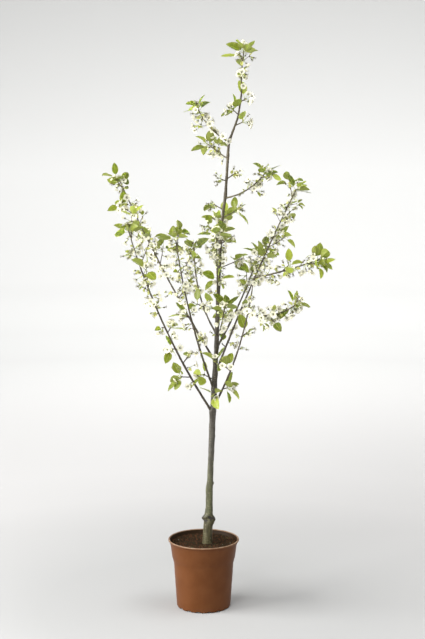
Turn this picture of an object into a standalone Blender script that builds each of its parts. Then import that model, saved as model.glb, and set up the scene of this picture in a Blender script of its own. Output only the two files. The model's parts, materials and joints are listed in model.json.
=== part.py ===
"""A morello cherry tree in spring blossom, grown in a nursery pot.

Metres, +Z up. The origin is the centre of the pot's flat underside, +X is the viewer's right
and +Y is away from the viewer. The trunk, each bough, each mass of leaves and blossom, the pot
and the soil are separate closed solids that stand 0.3 mm clear of each other.
"""
import math
import random
from collections import defaultdict, namedtuple

import bmesh
import bpy
from mathutils import Matrix, Vector

CLEAR = 0.0003
UP = Vector((0, 0, 1))

# Pot
POT_HEIGHT = 0.215
RIM_RADIUS = 0.110
RIM_WIDTH = 0.0055
RIM_ROUND = 0.0015
RIM_HEIGHT = 0.0065
FLARE_HEIGHT = 0.0125
COLLAR_TOP_RADIUS = 0.1005
COLLAR_FOOT_RADIUS = 0.0942
COLLAR_FOOT_HEIGHT = 0.156
BODY_TOP_RADIUS = 0.0912
BODY_TOP_HEIGHT = 0.138
BASE_RADIUS = 0.0838
WALL = 0.0016
FLOOR_RECESS = 0.004
FOOT_RING_WIDTH = 0.011
PAD_RADIUS = 0.030
POT_STEPS = 32
NOTCH_COUNT = 16
NOTCH_WIDTH = 0.010
NOTCH_HEIGHT = 0.0028

# Soil
SOIL_LEVEL = 0.198

# Trunk, from its flat cut at the soil to its tip: height, offset right, offset back, diameter
TRUNK = (
    (SOIL_LEVEL + CLEAR, 0.012, 0.000, 0.0340),
    (0.214, 0.012, 0.000, 0.0300),
    (0.252, 0.013, 0.000, 0.0285),
    (0.276, 0.015, 0.000, 0.0350),
    (0.303, 0.017, 0.000, 0.0240),
    (0.330, 0.017, 0.000, 0.0216),
    (0.372, 0.018, 0.000, 0.0212),
    (0.400, 0.020, 0.000, 0.0188),
    (0.470, 0.023, 0.001, 0.0182),
    (0.590, 0.027, 0.003, 0.0196),
    (0.645, 0.031, 0.003, 0.0186),
    (0.745, 0.035, 0.002, 0.0150),
    (0.810, 0.039, 0.000, 0.0130),
    (1.070, 0.048, -0.006, 0.0106),
    (1.195, 0.055, -0.006, 0.0096),
    (1.290, 0.067, -0.004, 0.0087),
    (1.440, 0.076, 0.000, 0.0075),
    (1.515, 0.104, 0.004, 0.0062),
    (1.585, 0.114, 0.006, 0.0052),
)
TRUNK_STEP = 0.065
TRUNK_BEVEL = 4

# Graft union, where two lumps swell the trunk: height, offset right, half width, half height
GRAFT_LUMPS = ((0.277, 0.0262, 0.0112, 0.0165), (0.279, 0.0022, 0.0090, 0.0120))

# Limbs. Along is a height on the trunk, or a share of the parent limb's length. Azimuth runs
# from 0 at the right by 90 at the back; leave and arrive are degrees from upright at the limb's
# foot and tip, and it turns evenly between them. Bare is the share of its length that is bough,
# spray the length of the mass's longest side twig, seed the seed of the mass's growth.
Limb = namedtuple("Limb", "name parent along azimuth leave arrive length thick bare spray seed")
LIMBS = (
    Limb("left_low", "trunk", 0.612, 205, 34, 17, 0.640, 0.0082, 0.56, 0.105, 80),
    Limb("left_high", "trunk", 0.772, 155, 35, 27, 0.630, 0.0076, 0.46, 0.075, 28),
    Limb("left_inner", "trunk", 0.684, 228, 28, 11, 0.513, 0.0075, 0.62, 0.070, 44),
    Limb("left_twig", "trunk", 0.858, 126, 52, -2, 0.290, 0.0065, 0.55, 0.040, 108),
    Limb("right_low", "trunk", 0.632, 315, 35, 9, 0.458, 0.0076, 1.00, 0, 0),
    Limb("right_mid", "trunk", 0.729, 30, 24, 31, 0.630, 0.0076, 0.50, 0.065, 30),
    Limb("right_back", "trunk", 0.814, 55, 49, 33, 0.362, 0.0070, 0.58, 0.055, 47),
    Limb("right_twig", "trunk", 0.832, 290, 38, 24, 0.140, 0.0050, 0.45, 0, 3),
    Limb("front", "trunk", 0.960, 268, 48, 15, 0.260, 0.0065, 0.50, 0.050, 64),
    Limb("back", "trunk", 0.900, 88, 45, 12, 0.340, 0.0070, 0.55, 0.060, 8),
    Limb("upper_right", "trunk", 1.274, 330, 80, 38, 0.165, 0.0050, 0.35, 0.040, 90),
    Limb("upper_left", "trunk", 1.442, 208, 65, 27, 0.150, 0.0050, 0.35, 0.040, 79),
    Limb("upper_left_low", "trunk", 1.392, 140, 66, 60, 0.090, 0.0042, 0, 0.030, 87),
    Limb("right_spread", "right_low", 0.985, 352, 77, 69, 0.200, 0.0058, 0, 0.045, 84),
    Limb("right_spray", "right_low", 0.74, 335, 100, 52, 0.165, 0.0048, 0, 0.035, 12),
    Limb("leader_top", "trunk", 1.585, 0, -3, 9, 0.125, 0.0050, 0, 0.032, 96),
)
LIMB_TIP = 0.0032
LIMB_TAPER = 0.7
LIMB_STEP = 0.042
LIMB_BEVEL = 1
LONG_STEM = 0.08

# Spurs: short stems on the side of the trunk or of a bough, each with its own mass. Lean is
# in degrees from upright.
Spur = namedtuple("Spur", "parent along azimuth lean length leaves blossoms seed")
SPURS = (
    Spur("trunk", 0.668, 262, 70, 0.022, 3, 0, 94),
    Spur("trunk", 0.716, 190, 62, 0.040, 4, 1, 57),
    Spur("trunk", 0.768, 275, 66, 0.022, 4, 2, 17),
    Spur("trunk", 0.930, 190, 60, 0.020, 1, 4, 46),
    Spur("trunk", 1.026, 264, 72, 0.020, 4, 3, 22),
    Spur("trunk", 1.061, 350, 66, 0.055, 4, 5, 94),
    Spur("trunk", 1.134, 20, 55, 0.024, 2, 4, 113),
    Spur("trunk", 1.166, 186, 60, 0.045, 2, 6, 17),
    Spur("trunk", 1.214, 344, 62, 0.050, 5, 4, 102),
    Spur("trunk", 1.238, 160, 62, 0.035, 2, 5, 67),
    Spur("trunk", 1.325, 196, 70, 0.018, 0, 4, 5),
    Spur("trunk", 1.330, 8, 55, 0.024, 0, 5, 53),
    Spur("trunk", 1.490, 350, 66, 0.026, 1, 3, 20),
    Spur("trunk", 1.522, 184, 48, 0.022, 3, 2, 53),
    Spur("trunk", 1.560, 20, 62, 0.018, 1, 3, 24),
    Spur("left_low", 0.22, 200, 86, 0.032, 5, 0, 34),
    Spur("left_low", 0.30, 20, 40, 0.022, 1, 4, 64),
    Spur("left_low", 0.38, 215, 80, 0.018, 2, 4, 40),
    Spur("left_low", 0.47, 340, 30, 0.020, 2, 3, 82),
    Spur("left_high", 0.24, 200, 40, 0.020, 1, 4, 82),
    Spur("left_high", 0.36, 30, 40, 0.022, 0, 5, 94),
    Spur("left_inner", 0.34, 300, 60, 0.018, 0, 4, 119),
    Spur("left_inner", 0.50, 200, 66, 0.018, 1, 4, 46),
    Spur("left_twig", 0.36, 200, 66, 0.024, 2, 3, 99),
    Spur("right_low", 0.16, 345, 76, 0.016, 4, 1, 95),
    Spur("right_low", 0.31, 180, 50, 0.018, 2, 2, 80),
    Spur("right_low", 0.58, 20, 60, 0.018, 1, 4, 106),
    Spur("right_mid", 0.15, 190, 50, 0.016, 1, 2, 20),
    Spur("right_mid", 0.35, 350, 66, 0.018, 1, 4, 20),
    Spur("right_back", 0.34, 160, 50, 0.018, 2, 3, 113),
)
SPUR_THICK = 0.0036

# Growth rule of a mass
NODE_STEP = 0.029
NODE_TURN = 144
TWIG_EVERY = 3
TWIG_THICK = 0.0030
TWIG_TIP = 0.0018
TWIG_SHORTEST = 0.7
TWIG_OUT = 0.9
TWIG_UP = 0.2
TWIG_UMBEL_AT = 0.55
ROSETTE_LEAVES = 4
ROSETTE_SPREADS = (38, 82)
LEAF_TURN = 137.5
LEAF_WIDTH = 0.60
LEAF_ROLL = 1.1
LEAF_THICK = 0.0012
BLADE_OUTLINE = ((0.28, 1.0), (0.70, 0.78))
LEAF_LENGTHS = (0.036, 0.049)
BRACT_LENGTHS = (0.016, 0.026)
PETIOLE_SHARE = 0.28
STALK_THICK = 0.0016
PEDICEL_LENGTHS = (0.015, 0.026)
PEDICEL_SCATTER = 0.75
PEDICEL_FORWARD = 0.3
PEDICEL_DROOP = 0.15
BRACT_SCATTER = 0.6
BLOSSOM_WIDTH = 0.025
BLOSSOM_DEPTH = 0.005
ROOT_DEPTH = 0.0008
STAGGER = 0.0018
LIMB_ROOM = 0.0045
MASS_ROOM = 0.0095
HEART_ROOM = 0.0199
SAMPLE_STEP = 0.006

# Colours
BARK = (0.115, 0.095, 0.070, 1)
LEAF = (0.270, 0.360, 0.050, 1)
TERRACOTTA = (0.250, 0.085, 0.035, 1)
COMPOST = (0.035, 0.025, 0.018, 1)

Shoot = namedtuple("Shoot", "foot azimuth leave arrive length thick thin")
Twig = namedtuple("Twig", "foot tip thick thin borne")
Leaf = namedtuple("Leaf", "foot heading face length")
Blossom = namedtuple("Blossom", "foot heading reach")


def clear_scene():
    for obj in list(bpy.data.objects):
        bpy.data.objects.remove(obj, do_unlink=True)


def new_collection(name):
    made = bpy.data.collections.new(name)
    bpy.context.scene.collection.children.link(made)
    return made


def finish_surface(obj, colour, roughness):
    """Gives the object its own material and smooth shading with sharp edges kept."""
    material = bpy.data.materials.new(obj.name)
    material.use_nodes = True
    shader = material.node_tree.nodes["Principled BSDF"]
    shader.inputs["Base Color"].default_value = colour
    shader.inputs["Roughness"].default_value = roughness
    shader.inputs["Metallic"].default_value = 0
    obj.data.materials.clear()
    obj.data.materials.append(material)
    obj.data.shade_smooth()
    obj.data.set_sharp_from_angle(angle=math.radians(40))


def place_mesh(bm, name, collection):
    """A new object in the collection from this bmesh, which it frees."""
    mesh = bpy.data.meshes.new(name)
    bm.to_mesh(mesh)
    bm.free()
    obj = bpy.data.objects.new(name, mesh)
    collection.objects.link(obj)
    return obj


def applied_mesh(obj):
    """A plain mesh of the object as its modifiers leave it."""
    bpy.context.view_layer.update()
    graph = bpy.context.evaluated_depsgraph_get()
    return bpy.data.meshes.new_from_object(obj.evaluated_get(graph))


def tube(name, points, radii, bevel, collection):
    """A round limb along the points, closed at both ends, with these radii."""
    curve = bpy.data.curves.new(name, "CURVE")
    curve.dimensions = "3D"
    curve.bevel_depth = 1
    curve.bevel_resolution = bevel
    curve.use_fill_caps = True
    spline = curve.splines.new("POLY")
    spline.points.add(len(points) - 1)
    for knot, point, radius in zip(spline.points, points, radii):
        knot.co = (*point, 1)
        knot.radius = radius
    guide = bpy.data.objects.new(name + "_guide", curve)
    collection.objects.link(guide)
    mesh = applied_mesh(guide)
    mesh.name = name
    bpy.data.objects.remove(guide, do_unlink=True)
    bm = bmesh.new()
    bm.from_mesh(mesh)
    bpy.data.meshes.remove(mesh)
    bmesh.ops.remove_doubles(bm, verts=bm.verts, dist=0.00002)
    bmesh.ops.recalc_face_normals(bm, faces=bm.faces)
    return place_mesh(bm, name, collection)


# Trunk and limbs


def trunk_point(height):
    """The trunk's centre and radius at this height."""
    height = min(max(height, TRUNK[0][0]), TRUNK[-1][0])
    for low, high in zip(TRUNK, TRUNK[1:]):
        if height <= high[0]:
            break
    share = (height - low[0]) / (high[0] - low[0])
    _, right, back, diameter = (a + (b - a) * share for a, b in zip(low, high))
    return Vector((right, back, height)), diameter / 2


def shoot_point(shoot, distance):
    """A shoot turns evenly from its leaving angle to its arriving one: its centre there."""
    leave = math.radians(shoot.leave)
    turn = math.radians(shoot.arrive - shoot.leave + 0.001) / shoot.length
    angle = leave + turn * distance
    out = (math.cos(leave) - math.cos(angle)) / turn
    rise = (math.sin(angle) - math.sin(leave)) / turn
    azimuth = math.radians(shoot.azimuth)
    return shoot.foot + Vector((out * math.cos(azimuth), out * math.sin(azimuth), rise))


def shoot_heading(shoot, distance):
    angle = math.radians(shoot.leave + (shoot.arrive - shoot.leave) * distance / shoot.length)
    azimuth = math.radians(shoot.azimuth)
    flat = math.sin(angle)
    return Vector((flat * math.cos(azimuth), flat * math.sin(azimuth), math.cos(angle)))


def shoot_radius(shoot, distance):
    return (shoot.thick + (shoot.thin - shoot.thick) * distance / shoot.length) / 2


def foot_on(parent, along, shoots):
    """Where a limb or spur leaves its parent's centre line."""
    if parent == "trunk":
        return trunk_point(along)[0]
    return shoot_point(shoots[parent], shoots[parent].length * along)


def limb_shoots():
    shoots = {}
    for limb in LIMBS:
        foot = foot_on(limb.parent, limb.along, shoots)
        thin = min(LIMB_TIP, limb.thick * LIMB_TAPER)
        shoots[limb.name] = Shoot(
            foot, limb.azimuth, limb.leave, limb.arrive, limb.length, limb.thick, thin
        )
    return shoots


def stretch(shoot, start, end, step):
    """Points and radii along part of a shoot."""
    count = max(2, math.ceil((end - start) / step) + 1)
    stops = [start + (end - start) * i / (count - 1) for i in range(count)]
    return [shoot_point(shoot, s) for s in stops], [shoot_radius(shoot, s) for s in stops]


def trunk_stretch(extra=0.0):
    """Points and radii up the trunk, at its stations and evenly between them."""
    heights = []
    for low, high in zip(TRUNK, TRUNK[1:]):
        count = math.ceil((high[0] - low[0]) / TRUNK_STEP)
        heights += [low[0] + (high[0] - low[0]) * i / count for i in range(count)]
    heights.append(TRUNK[-1][0])
    centres = [trunk_point(height) for height in heights]
    return [centre for centre, _ in centres], [radius + extra for _, radius in centres]


# Space kept between masses


class Room:
    """The space that limbs and masses have taken, as points in a grid of cells."""

    CELL = 0.02

    def __init__(self):
        self.cells = defaultdict(list)

    def take(self, points, owner, reach):
        for point in points:
            cell = tuple(math.floor(c / self.CELL) for c in point)
            self.cells[cell].append((point, owner, reach))

    def is_free(self, points, owner):
        """Whether no point is within reach of what another owner has taken."""
        for point in points:
            x, y, z = (math.floor(c / self.CELL) for c in point)
            near = (
                taken
                for i in (x - 1, x, x + 1)
                for j in (y - 1, y, y + 1)
                for k in (z - 1, z, z + 1)
                for taken in self.cells.get((i, j, k), ())
            )
            for other, holder, reach in near:
                if holder != owner and (other - point).length < reach:
                    return False
        return True


def between(foot, tip, step):
    count = max(1, math.ceil((tip - foot).length / step))
    return [foot.lerp(tip, i / count) for i in range(count + 1)]


def blade_frame(leaf):
    """The leaf blade's foot, tip and sideways direction."""
    foot = leaf.foot + leaf.heading * leaf.length * PETIOLE_SHARE
    tip = foot + leaf.heading * leaf.length
    return foot, tip, leaf.heading.cross(leaf.face).normalized()


def samples(part):
    """Points over a twig, leaf or blossom that show whether it has room."""
    if isinstance(part, Twig):
        return between(part.foot.lerp(part.tip, 0.15), part.tip, SAMPLE_STEP)
    if isinstance(part, Leaf):
        foot, tip, side = blade_frame(part)
        half = side * part.length * LEAF_WIDTH / 2
        edges = [foot.lerp(tip, share) + half * way for share in (0.3, 0.7) for way in (-1, 1)]
        return between(foot, tip, SAMPLE_STEP * 2) + edges
    tip = part.foot + part.heading * part.reach
    side = part.heading.orthogonal().normalized() * BLOSSOM_WIDTH / 2
    across = part.heading.cross(side)
    rim = [tip + part.heading * BLOSSOM_DEPTH + way for way in (side, -side, across, -across)]
    return between(part.foot.lerp(tip, 0.5), tip, SAMPLE_STEP) + rim


# Growth of a mass


def scatter(rng):
    return Vector([rng.uniform(-1, 1) for _ in range(3)])


def around(heading, degrees):
    """The direction square to a heading, this far round it."""
    side = heading.cross(UP)
    side = side.normalized() if side.length > 0.05 else Vector((1, 0, 0))
    return Matrix.Rotation(math.radians(degrees), 3, heading) @ side


def face_of(heading, rng):
    """A leaf's upper side looks up, turned a little about its midrib."""
    level = heading.cross(UP)
    level = level.normalized() if level.length > 0.2 else heading.orthogonal().normalized()
    return Matrix.Rotation(rng.uniform(-LEAF_ROLL, LEAF_ROLL), 3, heading) @ level.cross(heading)


def leaf_at(foot, heading, lengths, rng):
    heading = heading.normalized()
    return Leaf(foot, heading, face_of(heading, rng), rng.uniform(*lengths))


def umbel(foot, outward, heading, blossoms, leaves, rng):
    """A cluster of blossoms on long stalks, with small leaves at its foot."""
    for index in range(blossoms):
        aim = outward + heading * PEDICEL_FORWARD
        aim += scatter(rng) * PEDICEL_SCATTER - UP * PEDICEL_DROOP
        root = foot - heading * STAGGER * (index + 0.5) + aim.normalized() * STAGGER / 2
        yield Blossom(root, aim.normalized(), rng.uniform(*PEDICEL_LENGTHS))
    for index in range(leaves):
        root = foot + heading * STAGGER * (index + 1)
        aim = outward + heading + scatter(rng) * BRACT_SCATTER
        yield leaf_at(root, aim, BRACT_LENGTHS, rng)


def rosette(foot, heading, leaves, rng):
    """Leaves round the tip of a stem, each a step of LEAF_TURN on from the last."""
    first = rng.uniform(0, 360)
    for index in range(leaves):
        spread = math.radians(rng.uniform(*ROSETTE_SPREADS))
        outward = around(heading, first + LEAF_TURN * index)
        aim = heading * math.cos(spread) + outward * math.sin(spread)
        root = foot - heading * STAGGER * (index + 0.5) + outward * STAGGER / 2
        yield leaf_at(root, aim, LEAF_LENGTHS, rng)


def grow_limb(shoot, start, spray, rng):
    """What the leafy end of a limb bears, from start to its tip."""
    count = max(2, round((shoot.length - start) / NODE_STEP))
    first = rng.uniform(0, 360)
    tip = shoot_point(shoot, shoot.length)
    heading = shoot_heading(shoot, shoot.length)
    yield from rosette(tip, heading, ROSETTE_LEAVES, rng)
    yield from umbel(tip - heading * STAGGER * 5, heading, heading, 3, 0, rng)
    for node in range(count - 1, 0, -1):
        distance = start + (shoot.length - start) * node / count
        foot = shoot_point(shoot, distance)
        heading = shoot_heading(shoot, distance)
        outward = around(heading, first + NODE_TURN * node)
        if spray and (count - node) % TWIG_EVERY == 1:
            way = (heading + outward * TWIG_OUT + UP * TWIG_UP).normalized()
            tip = foot + way * spray * rng.uniform(TWIG_SHORTEST, 1)
            borne = [
                *rosette(tip, way, ROSETTE_LEAVES - 1, rng),
                *umbel(tip - way * STAGGER * 4, way, way, 2, 0, rng),
                *umbel(foot.lerp(tip, TWIG_UMBEL_AT), around(way, first), way, 2, 0, rng),
            ]
            yield Twig(foot, tip, TWIG_THICK, TWIG_TIP, borne)
        else:
            blossoms = rng.choice((2, 3, 3))
            yield from umbel(foot, outward, heading, blossoms, rng.choice((0, 1)), rng)


def grow_spur(shoot, spur, rng):
    """What a short spur bears at its tip."""
    tip = shoot_point(shoot, shoot.length)
    heading = shoot_heading(shoot, shoot.length)
    yield from rosette(tip, heading, spur.leaves, rng)
    yield from umbel(tip, heading, heading, spur.blossoms, 0, rng)


def grow(shoot, start, plan):
    """Every twig, leaf and blossom of a mass, before any is skipped for want of room."""
    rng = random.Random(plan.seed)
    if isinstance(plan, Limb):
        return list(grow_limb(shoot, start, plan.spray, rng))
    return list(grow_spur(shoot, plan, rng))


def heart(part):
    """The middle of a leaf's blade or of a blossom. Twigs have none."""
    if isinstance(part, Leaf):
        foot, tip, _ = blade_frame(part)
        return foot.lerp(tip, 0.4)
    return part.foot + part.heading * part.reach


def with_room(parts, owner, room, hearts):
    """The parts that keep to the mass's own space and aren't crowded in it.

    A skipped twig bears nothing.
    """
    kept = []
    for part in parts:
        if not room.is_free(samples(part), owner):
            continue
        if isinstance(part, Twig):
            kept += [part, *with_room(part.borne, owner, room, hearts)]
        elif all((heart(part) - other).length > HEART_ROOM for other in hearts):
            hearts.append(heart(part))
            kept.append(part)
        else:
            continue
        room.take(samples(part), owner, MASS_ROOM)
    return kept


# Solids of a mass


def ring(centre, heading, radius, sides):
    """Points evenly round the heading."""
    side = heading.orthogonal().normalized() * radius
    step = 2 * math.pi / sides
    return [centre + Matrix.Rotation(step * i, 3, heading) @ side for i in range(sides)]


def bridge(bm, low, high):
    """Joins two rings of vertices, which may differ in number, with triangles."""
    i = 0
    j = 0
    while i < len(low) or j < len(high):
        first = low[i % len(low)]
        second = high[j % len(high)]
        if j == len(high) or (i < len(low) and (i + 0.5) / len(low) < (j + 0.5) / len(high)):
            i += 1
            third = low[i % len(low)]
        else:
            j += 1
            third = high[j % len(high)]
        if third not in (first, second):
            bm.faces.new((first, third, second))


def loft(rings, collection):
    """A closed solid through rings of points. A ring of one point is a tip."""
    bm = bmesh.new()
    loops = [[bm.verts.new(point) for point in points] for points in rings]
    for low, high in zip(loops, loops[1:]):
        bridge(bm, low, high)
    for end in (loops[0], loops[-1]):
        if len(end) > 2:
            bm.faces.new(end)
    bmesh.ops.recalc_face_normals(bm, faces=bm.faces)
    place_mesh(bm, "piece", collection)


def twig_piece(twig, collection):
    way = (twig.tip - twig.foot).normalized()
    foot = ring(twig.foot, way, twig.thick / 2, 3)
    loft((foot, ring(twig.tip, way, twig.thin / 2, 3)), collection)


def leaf_piece(leaf, collection):
    """A three-sided stalk that widens into a thin blade, flat below and ridged above."""
    foot, tip, side = blade_frame(leaf)
    stalk = STALK_THICK / 2
    sections = [(leaf.foot - leaf.heading * ROOT_DEPTH, stalk, stalk), (foot, stalk, stalk)]
    for share, width in BLADE_OUTLINE:
        half = leaf.length * LEAF_WIDTH * width / 2
        sections.append((foot.lerp(tip, share), half, LEAF_THICK))
    rings = [
        (centre - side * half, centre + side * half, centre + leaf.face * rise)
        for centre, half, rise in sections
    ]
    loft((*rings, (tip,)), collection)


def blossom_piece(blossom, collection):
    """A three-sided stalk that opens into a shallow five-sided cup."""
    way = blossom.heading
    tip = blossom.foot + way * blossom.reach
    root = ring(blossom.foot - way * ROOT_DEPTH, way, STALK_THICK / 2, 3)
    throat = ring(tip, way, STALK_THICK / 2, 3)
    rim = ring(tip + way * BLOSSOM_DEPTH, way, BLOSSOM_WIDTH / 2, 5)
    loft((root, throat, rim), collection)


PIECES = {Twig: twig_piece, Leaf: leaf_piece, Blossom: blossom_piece}


def keep_largest_body(mesh):
    """Drops loose scraps and fills sealed hollows, which are both separate islands of faces."""
    bm = bmesh.new()
    bm.from_mesh(mesh)
    unseen = set(bm.verts)
    islands = []
    while unseen:
        island = set()
        edge = [unseen.pop()]
        while edge:
            vert = edge.pop()
            island.add(vert)
            fresh = {link.other_vert(vert) for link in vert.link_edges} & unseen
            unseen -= fresh
            edge += fresh
        islands.append(island)
    islands.sort(key=len)
    for island in islands[:-1]:
        bmesh.ops.delete(bm, geom=list(island), context="VERTS")
    bm.to_mesh(mesh)
    bm.free()


def add_boolean(obj, operation, other):
    modifier = obj.modifiers.new(operation.lower(), "BOOLEAN")
    modifier.operation = operation
    if isinstance(other, bpy.types.Collection):
        modifier.operand_type = "COLLECTION"
        modifier.collection = other
    else:
        modifier.object = other


def fuse(stem, pieces, cutter=None):
    """Joins the pieces to the stem, clears the parent's space from it, and removes them."""
    if pieces.objects:
        add_boolean(stem, "UNION", pieces)
    if cutter:
        add_boolean(stem, "DIFFERENCE", cutter)
    mesh = applied_mesh(stem)
    keep_largest_body(mesh)
    mesh.name = stem.name
    stem.modifiers.clear()
    stem.data = mesh
    for obj in list(pieces.objects):
        bpy.data.objects.remove(obj, do_unlink=True)
    bpy.data.collections.remove(pieces)


# The object's parts


def build_trunk(tree):
    points, radii = trunk_stretch()
    trunk = tube("trunk", points, radii, TRUNK_BEVEL, tree)
    lumps = new_collection("lumps")
    for height, right, half_width, half_height in GRAFT_LUMPS:
        bm = bmesh.new()
        bmesh.ops.create_icosphere(bm, subdivisions=2, radius=1)
        bmesh.ops.scale(bm, vec=(half_width, half_width, half_height), verts=bm.verts)
        bmesh.ops.translate(bm, vec=(right, 0, height), verts=bm.verts)
        place_mesh(bm, "lump", lumps)
    fuse(trunk, lumps)
    finish_surface(trunk, BARK, 0.8)


def build_cutters(shoots, cutters):
    """The trunk and boughs again, thicker by the clearance, for what grows on them."""
    made = {}
    points, radii = trunk_stretch(CLEAR)
    points[-1] = points[-1].lerp(points[-2], -CLEAR / (points[-1] - points[-2]).length)
    made["trunk"] = tube("trunk_clearance", points, radii, TRUNK_BEVEL, cutters)
    for limb in LIMBS:
        if limb.bare:
            shoot = shoots[limb.name]
            points, radii = stretch(shoot, 0, shoot.length * limb.bare, LIMB_STEP)
            points[-1] = points[-1] + shoot_heading(shoot, shoot.length * limb.bare) * CLEAR
            radii = [radius + CLEAR for radius in radii]
            made[limb.name] = tube(limb.name + "_clearance", points, radii, LIMB_BEVEL, cutters)
    for cutter in made.values():
        cutter.hide_render = True
        cutter.display_type = "WIRE"
    return made


def build_boughs(shoots, cutters, tree):
    for limb in LIMBS:
        if limb.bare:
            shoot = shoots[limb.name]
            points, radii = stretch(shoot, 0, shoot.length * limb.bare, LIMB_STEP)
            bough = tube(limb.name + "_bough", points, radii, LIMB_BEVEL, tree)
            fuse(bough, new_collection("none"), cutters[limb.parent])
            finish_surface(bough, BARK, 0.8)


def mass_stems(shoots):
    """Each mass's name, stem, the distance where it starts, and the limb to cut it clear of."""
    stems = []
    for limb in LIMBS:
        if limb.bare < 1:
            start = shoots[limb.name].length * limb.bare
            start += CLEAR if limb.bare else 0
            below = limb.name if limb.bare else limb.parent
            stems.append((limb.name + "_mass", shoots[limb.name], start, below, limb))
    numbers = defaultdict(int)
    for spur in SPURS:
        numbers[spur.parent] += 1
        foot = foot_on(spur.parent, spur.along, shoots)
        shoot = Shoot(
            foot, spur.azimuth, spur.lean, spur.lean, spur.length, SPUR_THICK, TWIG_THICK
        )
        name = f"{spur.parent}_spur_{numbers[spur.parent]}_mass"
        stems.append((name, shoot, 0, spur.parent, spur))
    return stems


def claim_limbs(shoots, stems, room):
    """The trunk, boughs and stems take their space before any leaf or blossom does."""
    points, radii = trunk_stretch()
    for foot, radius, tip in zip(points, radii, points[1:]):
        room.take(between(foot, tip, SAMPLE_STEP), "trunk", radius + LIMB_ROOM)
    for limb in LIMBS:
        if limb.bare:
            shoot = shoots[limb.name]
            points, radii = stretch(shoot, 0, shoot.length * limb.bare, SAMPLE_STEP)
            for point, radius in zip(points, radii):
                room.take([point], limb.name, radius + LIMB_ROOM)
    for name, shoot, start, _, _ in stems:
        points, radii = stretch(shoot, start, shoot.length, SAMPLE_STEP)
        for point, radius in zip(points, radii):
            room.take([point], name, radius + LIMB_ROOM)


def build_masses(shoots, cutters, tree):
    room = Room()
    stems = mass_stems(shoots)
    claim_limbs(shoots, stems, room)
    for name, shoot, start, below, plan in stems:
        parts = grow(shoot, start, plan)
        points, radii = stretch(shoot, start, shoot.length, LIMB_STEP)
        bevel = LIMB_BEVEL if shoot.length > LONG_STEM else 0
        mass = tube(name, points, radii, bevel, tree)
        pieces = new_collection("pieces")
        for part in with_room(parts, name, room, []):
            PIECES[type(part)](part, pieces)
        fuse(mass, pieces, cutters[below])
        finish_surface(mass, LEAF, 0.6)


def turned(name, profile, collection):
    """A closed solid from a profile of radius and height pairs, turned about Z."""
    bm = bmesh.new()
    verts = [bm.verts.new((radius, 0, height)) for radius, height in profile]
    for first, second in zip(verts, verts[1:]):
        bm.edges.new((first, second))
    obj = place_mesh(bm, name, collection)
    screw = obj.modifiers.new("turn", "SCREW")
    screw.steps = POT_STEPS
    screw.render_steps = POT_STEPS
    screw.use_merge_vertices = True
    screw.merge_threshold = 0.0001
    screw.use_smooth_shade = True
    return obj


def wall_profile():
    """The pot's outer wall below its rim, top to bottom."""
    return (
        (COLLAR_TOP_RADIUS, POT_HEIGHT - RIM_HEIGHT - FLARE_HEIGHT),
        (COLLAR_FOOT_RADIUS, COLLAR_FOOT_HEIGHT),
        (BODY_TOP_RADIUS, BODY_TOP_HEIGHT),
        (BASE_RADIUS, FLOOR_RECESS + WALL),
    )


def build_pot(tree, cutters):
    inner = [(radius - WALL, height) for radius, height in reversed(wall_profile())]
    rim_foot = POT_HEIGHT - RIM_HEIGHT
    rim_inner = RIM_RADIUS - RIM_WIDTH
    rim = (
        (rim_inner, rim_foot),
        (rim_inner, POT_HEIGHT - RIM_ROUND),
        (rim_inner + RIM_ROUND, POT_HEIGHT),
        (RIM_RADIUS - RIM_ROUND, POT_HEIGHT),
        (RIM_RADIUS, POT_HEIGHT - RIM_ROUND),
        (RIM_RADIUS, rim_foot + RIM_ROUND),
        (RIM_RADIUS - RIM_ROUND, rim_foot),
    )
    foot_inner = BASE_RADIUS - FOOT_RING_WIDTH
    underside = (
        (BASE_RADIUS, RIM_ROUND),
        (BASE_RADIUS - RIM_ROUND, 0),
        (foot_inner, 0),
        (foot_inner, FLOOR_RECESS),
        (PAD_RADIUS, FLOOR_RECESS),
        (PAD_RADIUS, 0),
        (0, 0),
    )
    floor = (0, FLOOR_RECESS + WALL)
    pot = turned("pot", (floor, *inner, *rim, *wall_profile(), *underside), tree)
    add_boolean(pot, "DIFFERENCE", drainage_notches(cutters))
    finish_surface(pot, TERRACOTTA, 0.45)


def drainage_notches(cutters):
    """Blocks that cut slots through the ring that the pot stands on."""
    bm = bmesh.new()
    depth = FOOT_RING_WIDTH * 1.5
    for index in range(NOTCH_COUNT):
        turn = Matrix.Rotation(2 * math.pi * (index + 0.5) / NOTCH_COUNT, 4, "Z")
        place = Matrix.Translation((BASE_RADIUS - FOOT_RING_WIDTH / 2, 0, 0))
        size = Matrix.Diagonal((depth, NOTCH_WIDTH, NOTCH_HEIGHT * 2, 1))
        bmesh.ops.create_cube(bm, size=1, matrix=turn @ place @ size)
    notches = place_mesh(bm, "drainage_notches", cutters)
    notches.hide_render = True
    notches.display_type = "WIRE"
    return notches


def build_soil(tree):
    """Soil fills the pot to its level, clear of the wall and the floor."""
    top, *wall = wall_profile()
    bottom = wall.pop()
    share = (SOIL_LEVEL - wall[0][1]) / (top[1] - wall[0][1])
    level_radius = wall[0][0] + (top[0] - wall[0][0]) * min(share, 1)
    inset = WALL + CLEAR
    profile = [(0, SOIL_LEVEL), (level_radius - inset, SOIL_LEVEL)]
    profile += [(radius - inset, height) for radius, height in wall]
    profile += [(bottom[0] - inset, bottom[1] + CLEAR), (0, bottom[1] + CLEAR)]
    soil = turned("soil", profile, tree)
    finish_surface(soil, COMPOST, 0.95)


def main():
    clear_scene()
    tree = new_collection("potted_morello_cherry_tree")
    cutters = new_collection("cutters")
    shoots = limb_shoots()
    build_pot(tree, cutters)
    build_soil(tree)
    build_trunk(tree)
    clearances = build_cutters(shoots, cutters)
    build_boughs(shoots, clearances, tree)
    build_masses(shoots, clearances, tree)


main()
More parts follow.
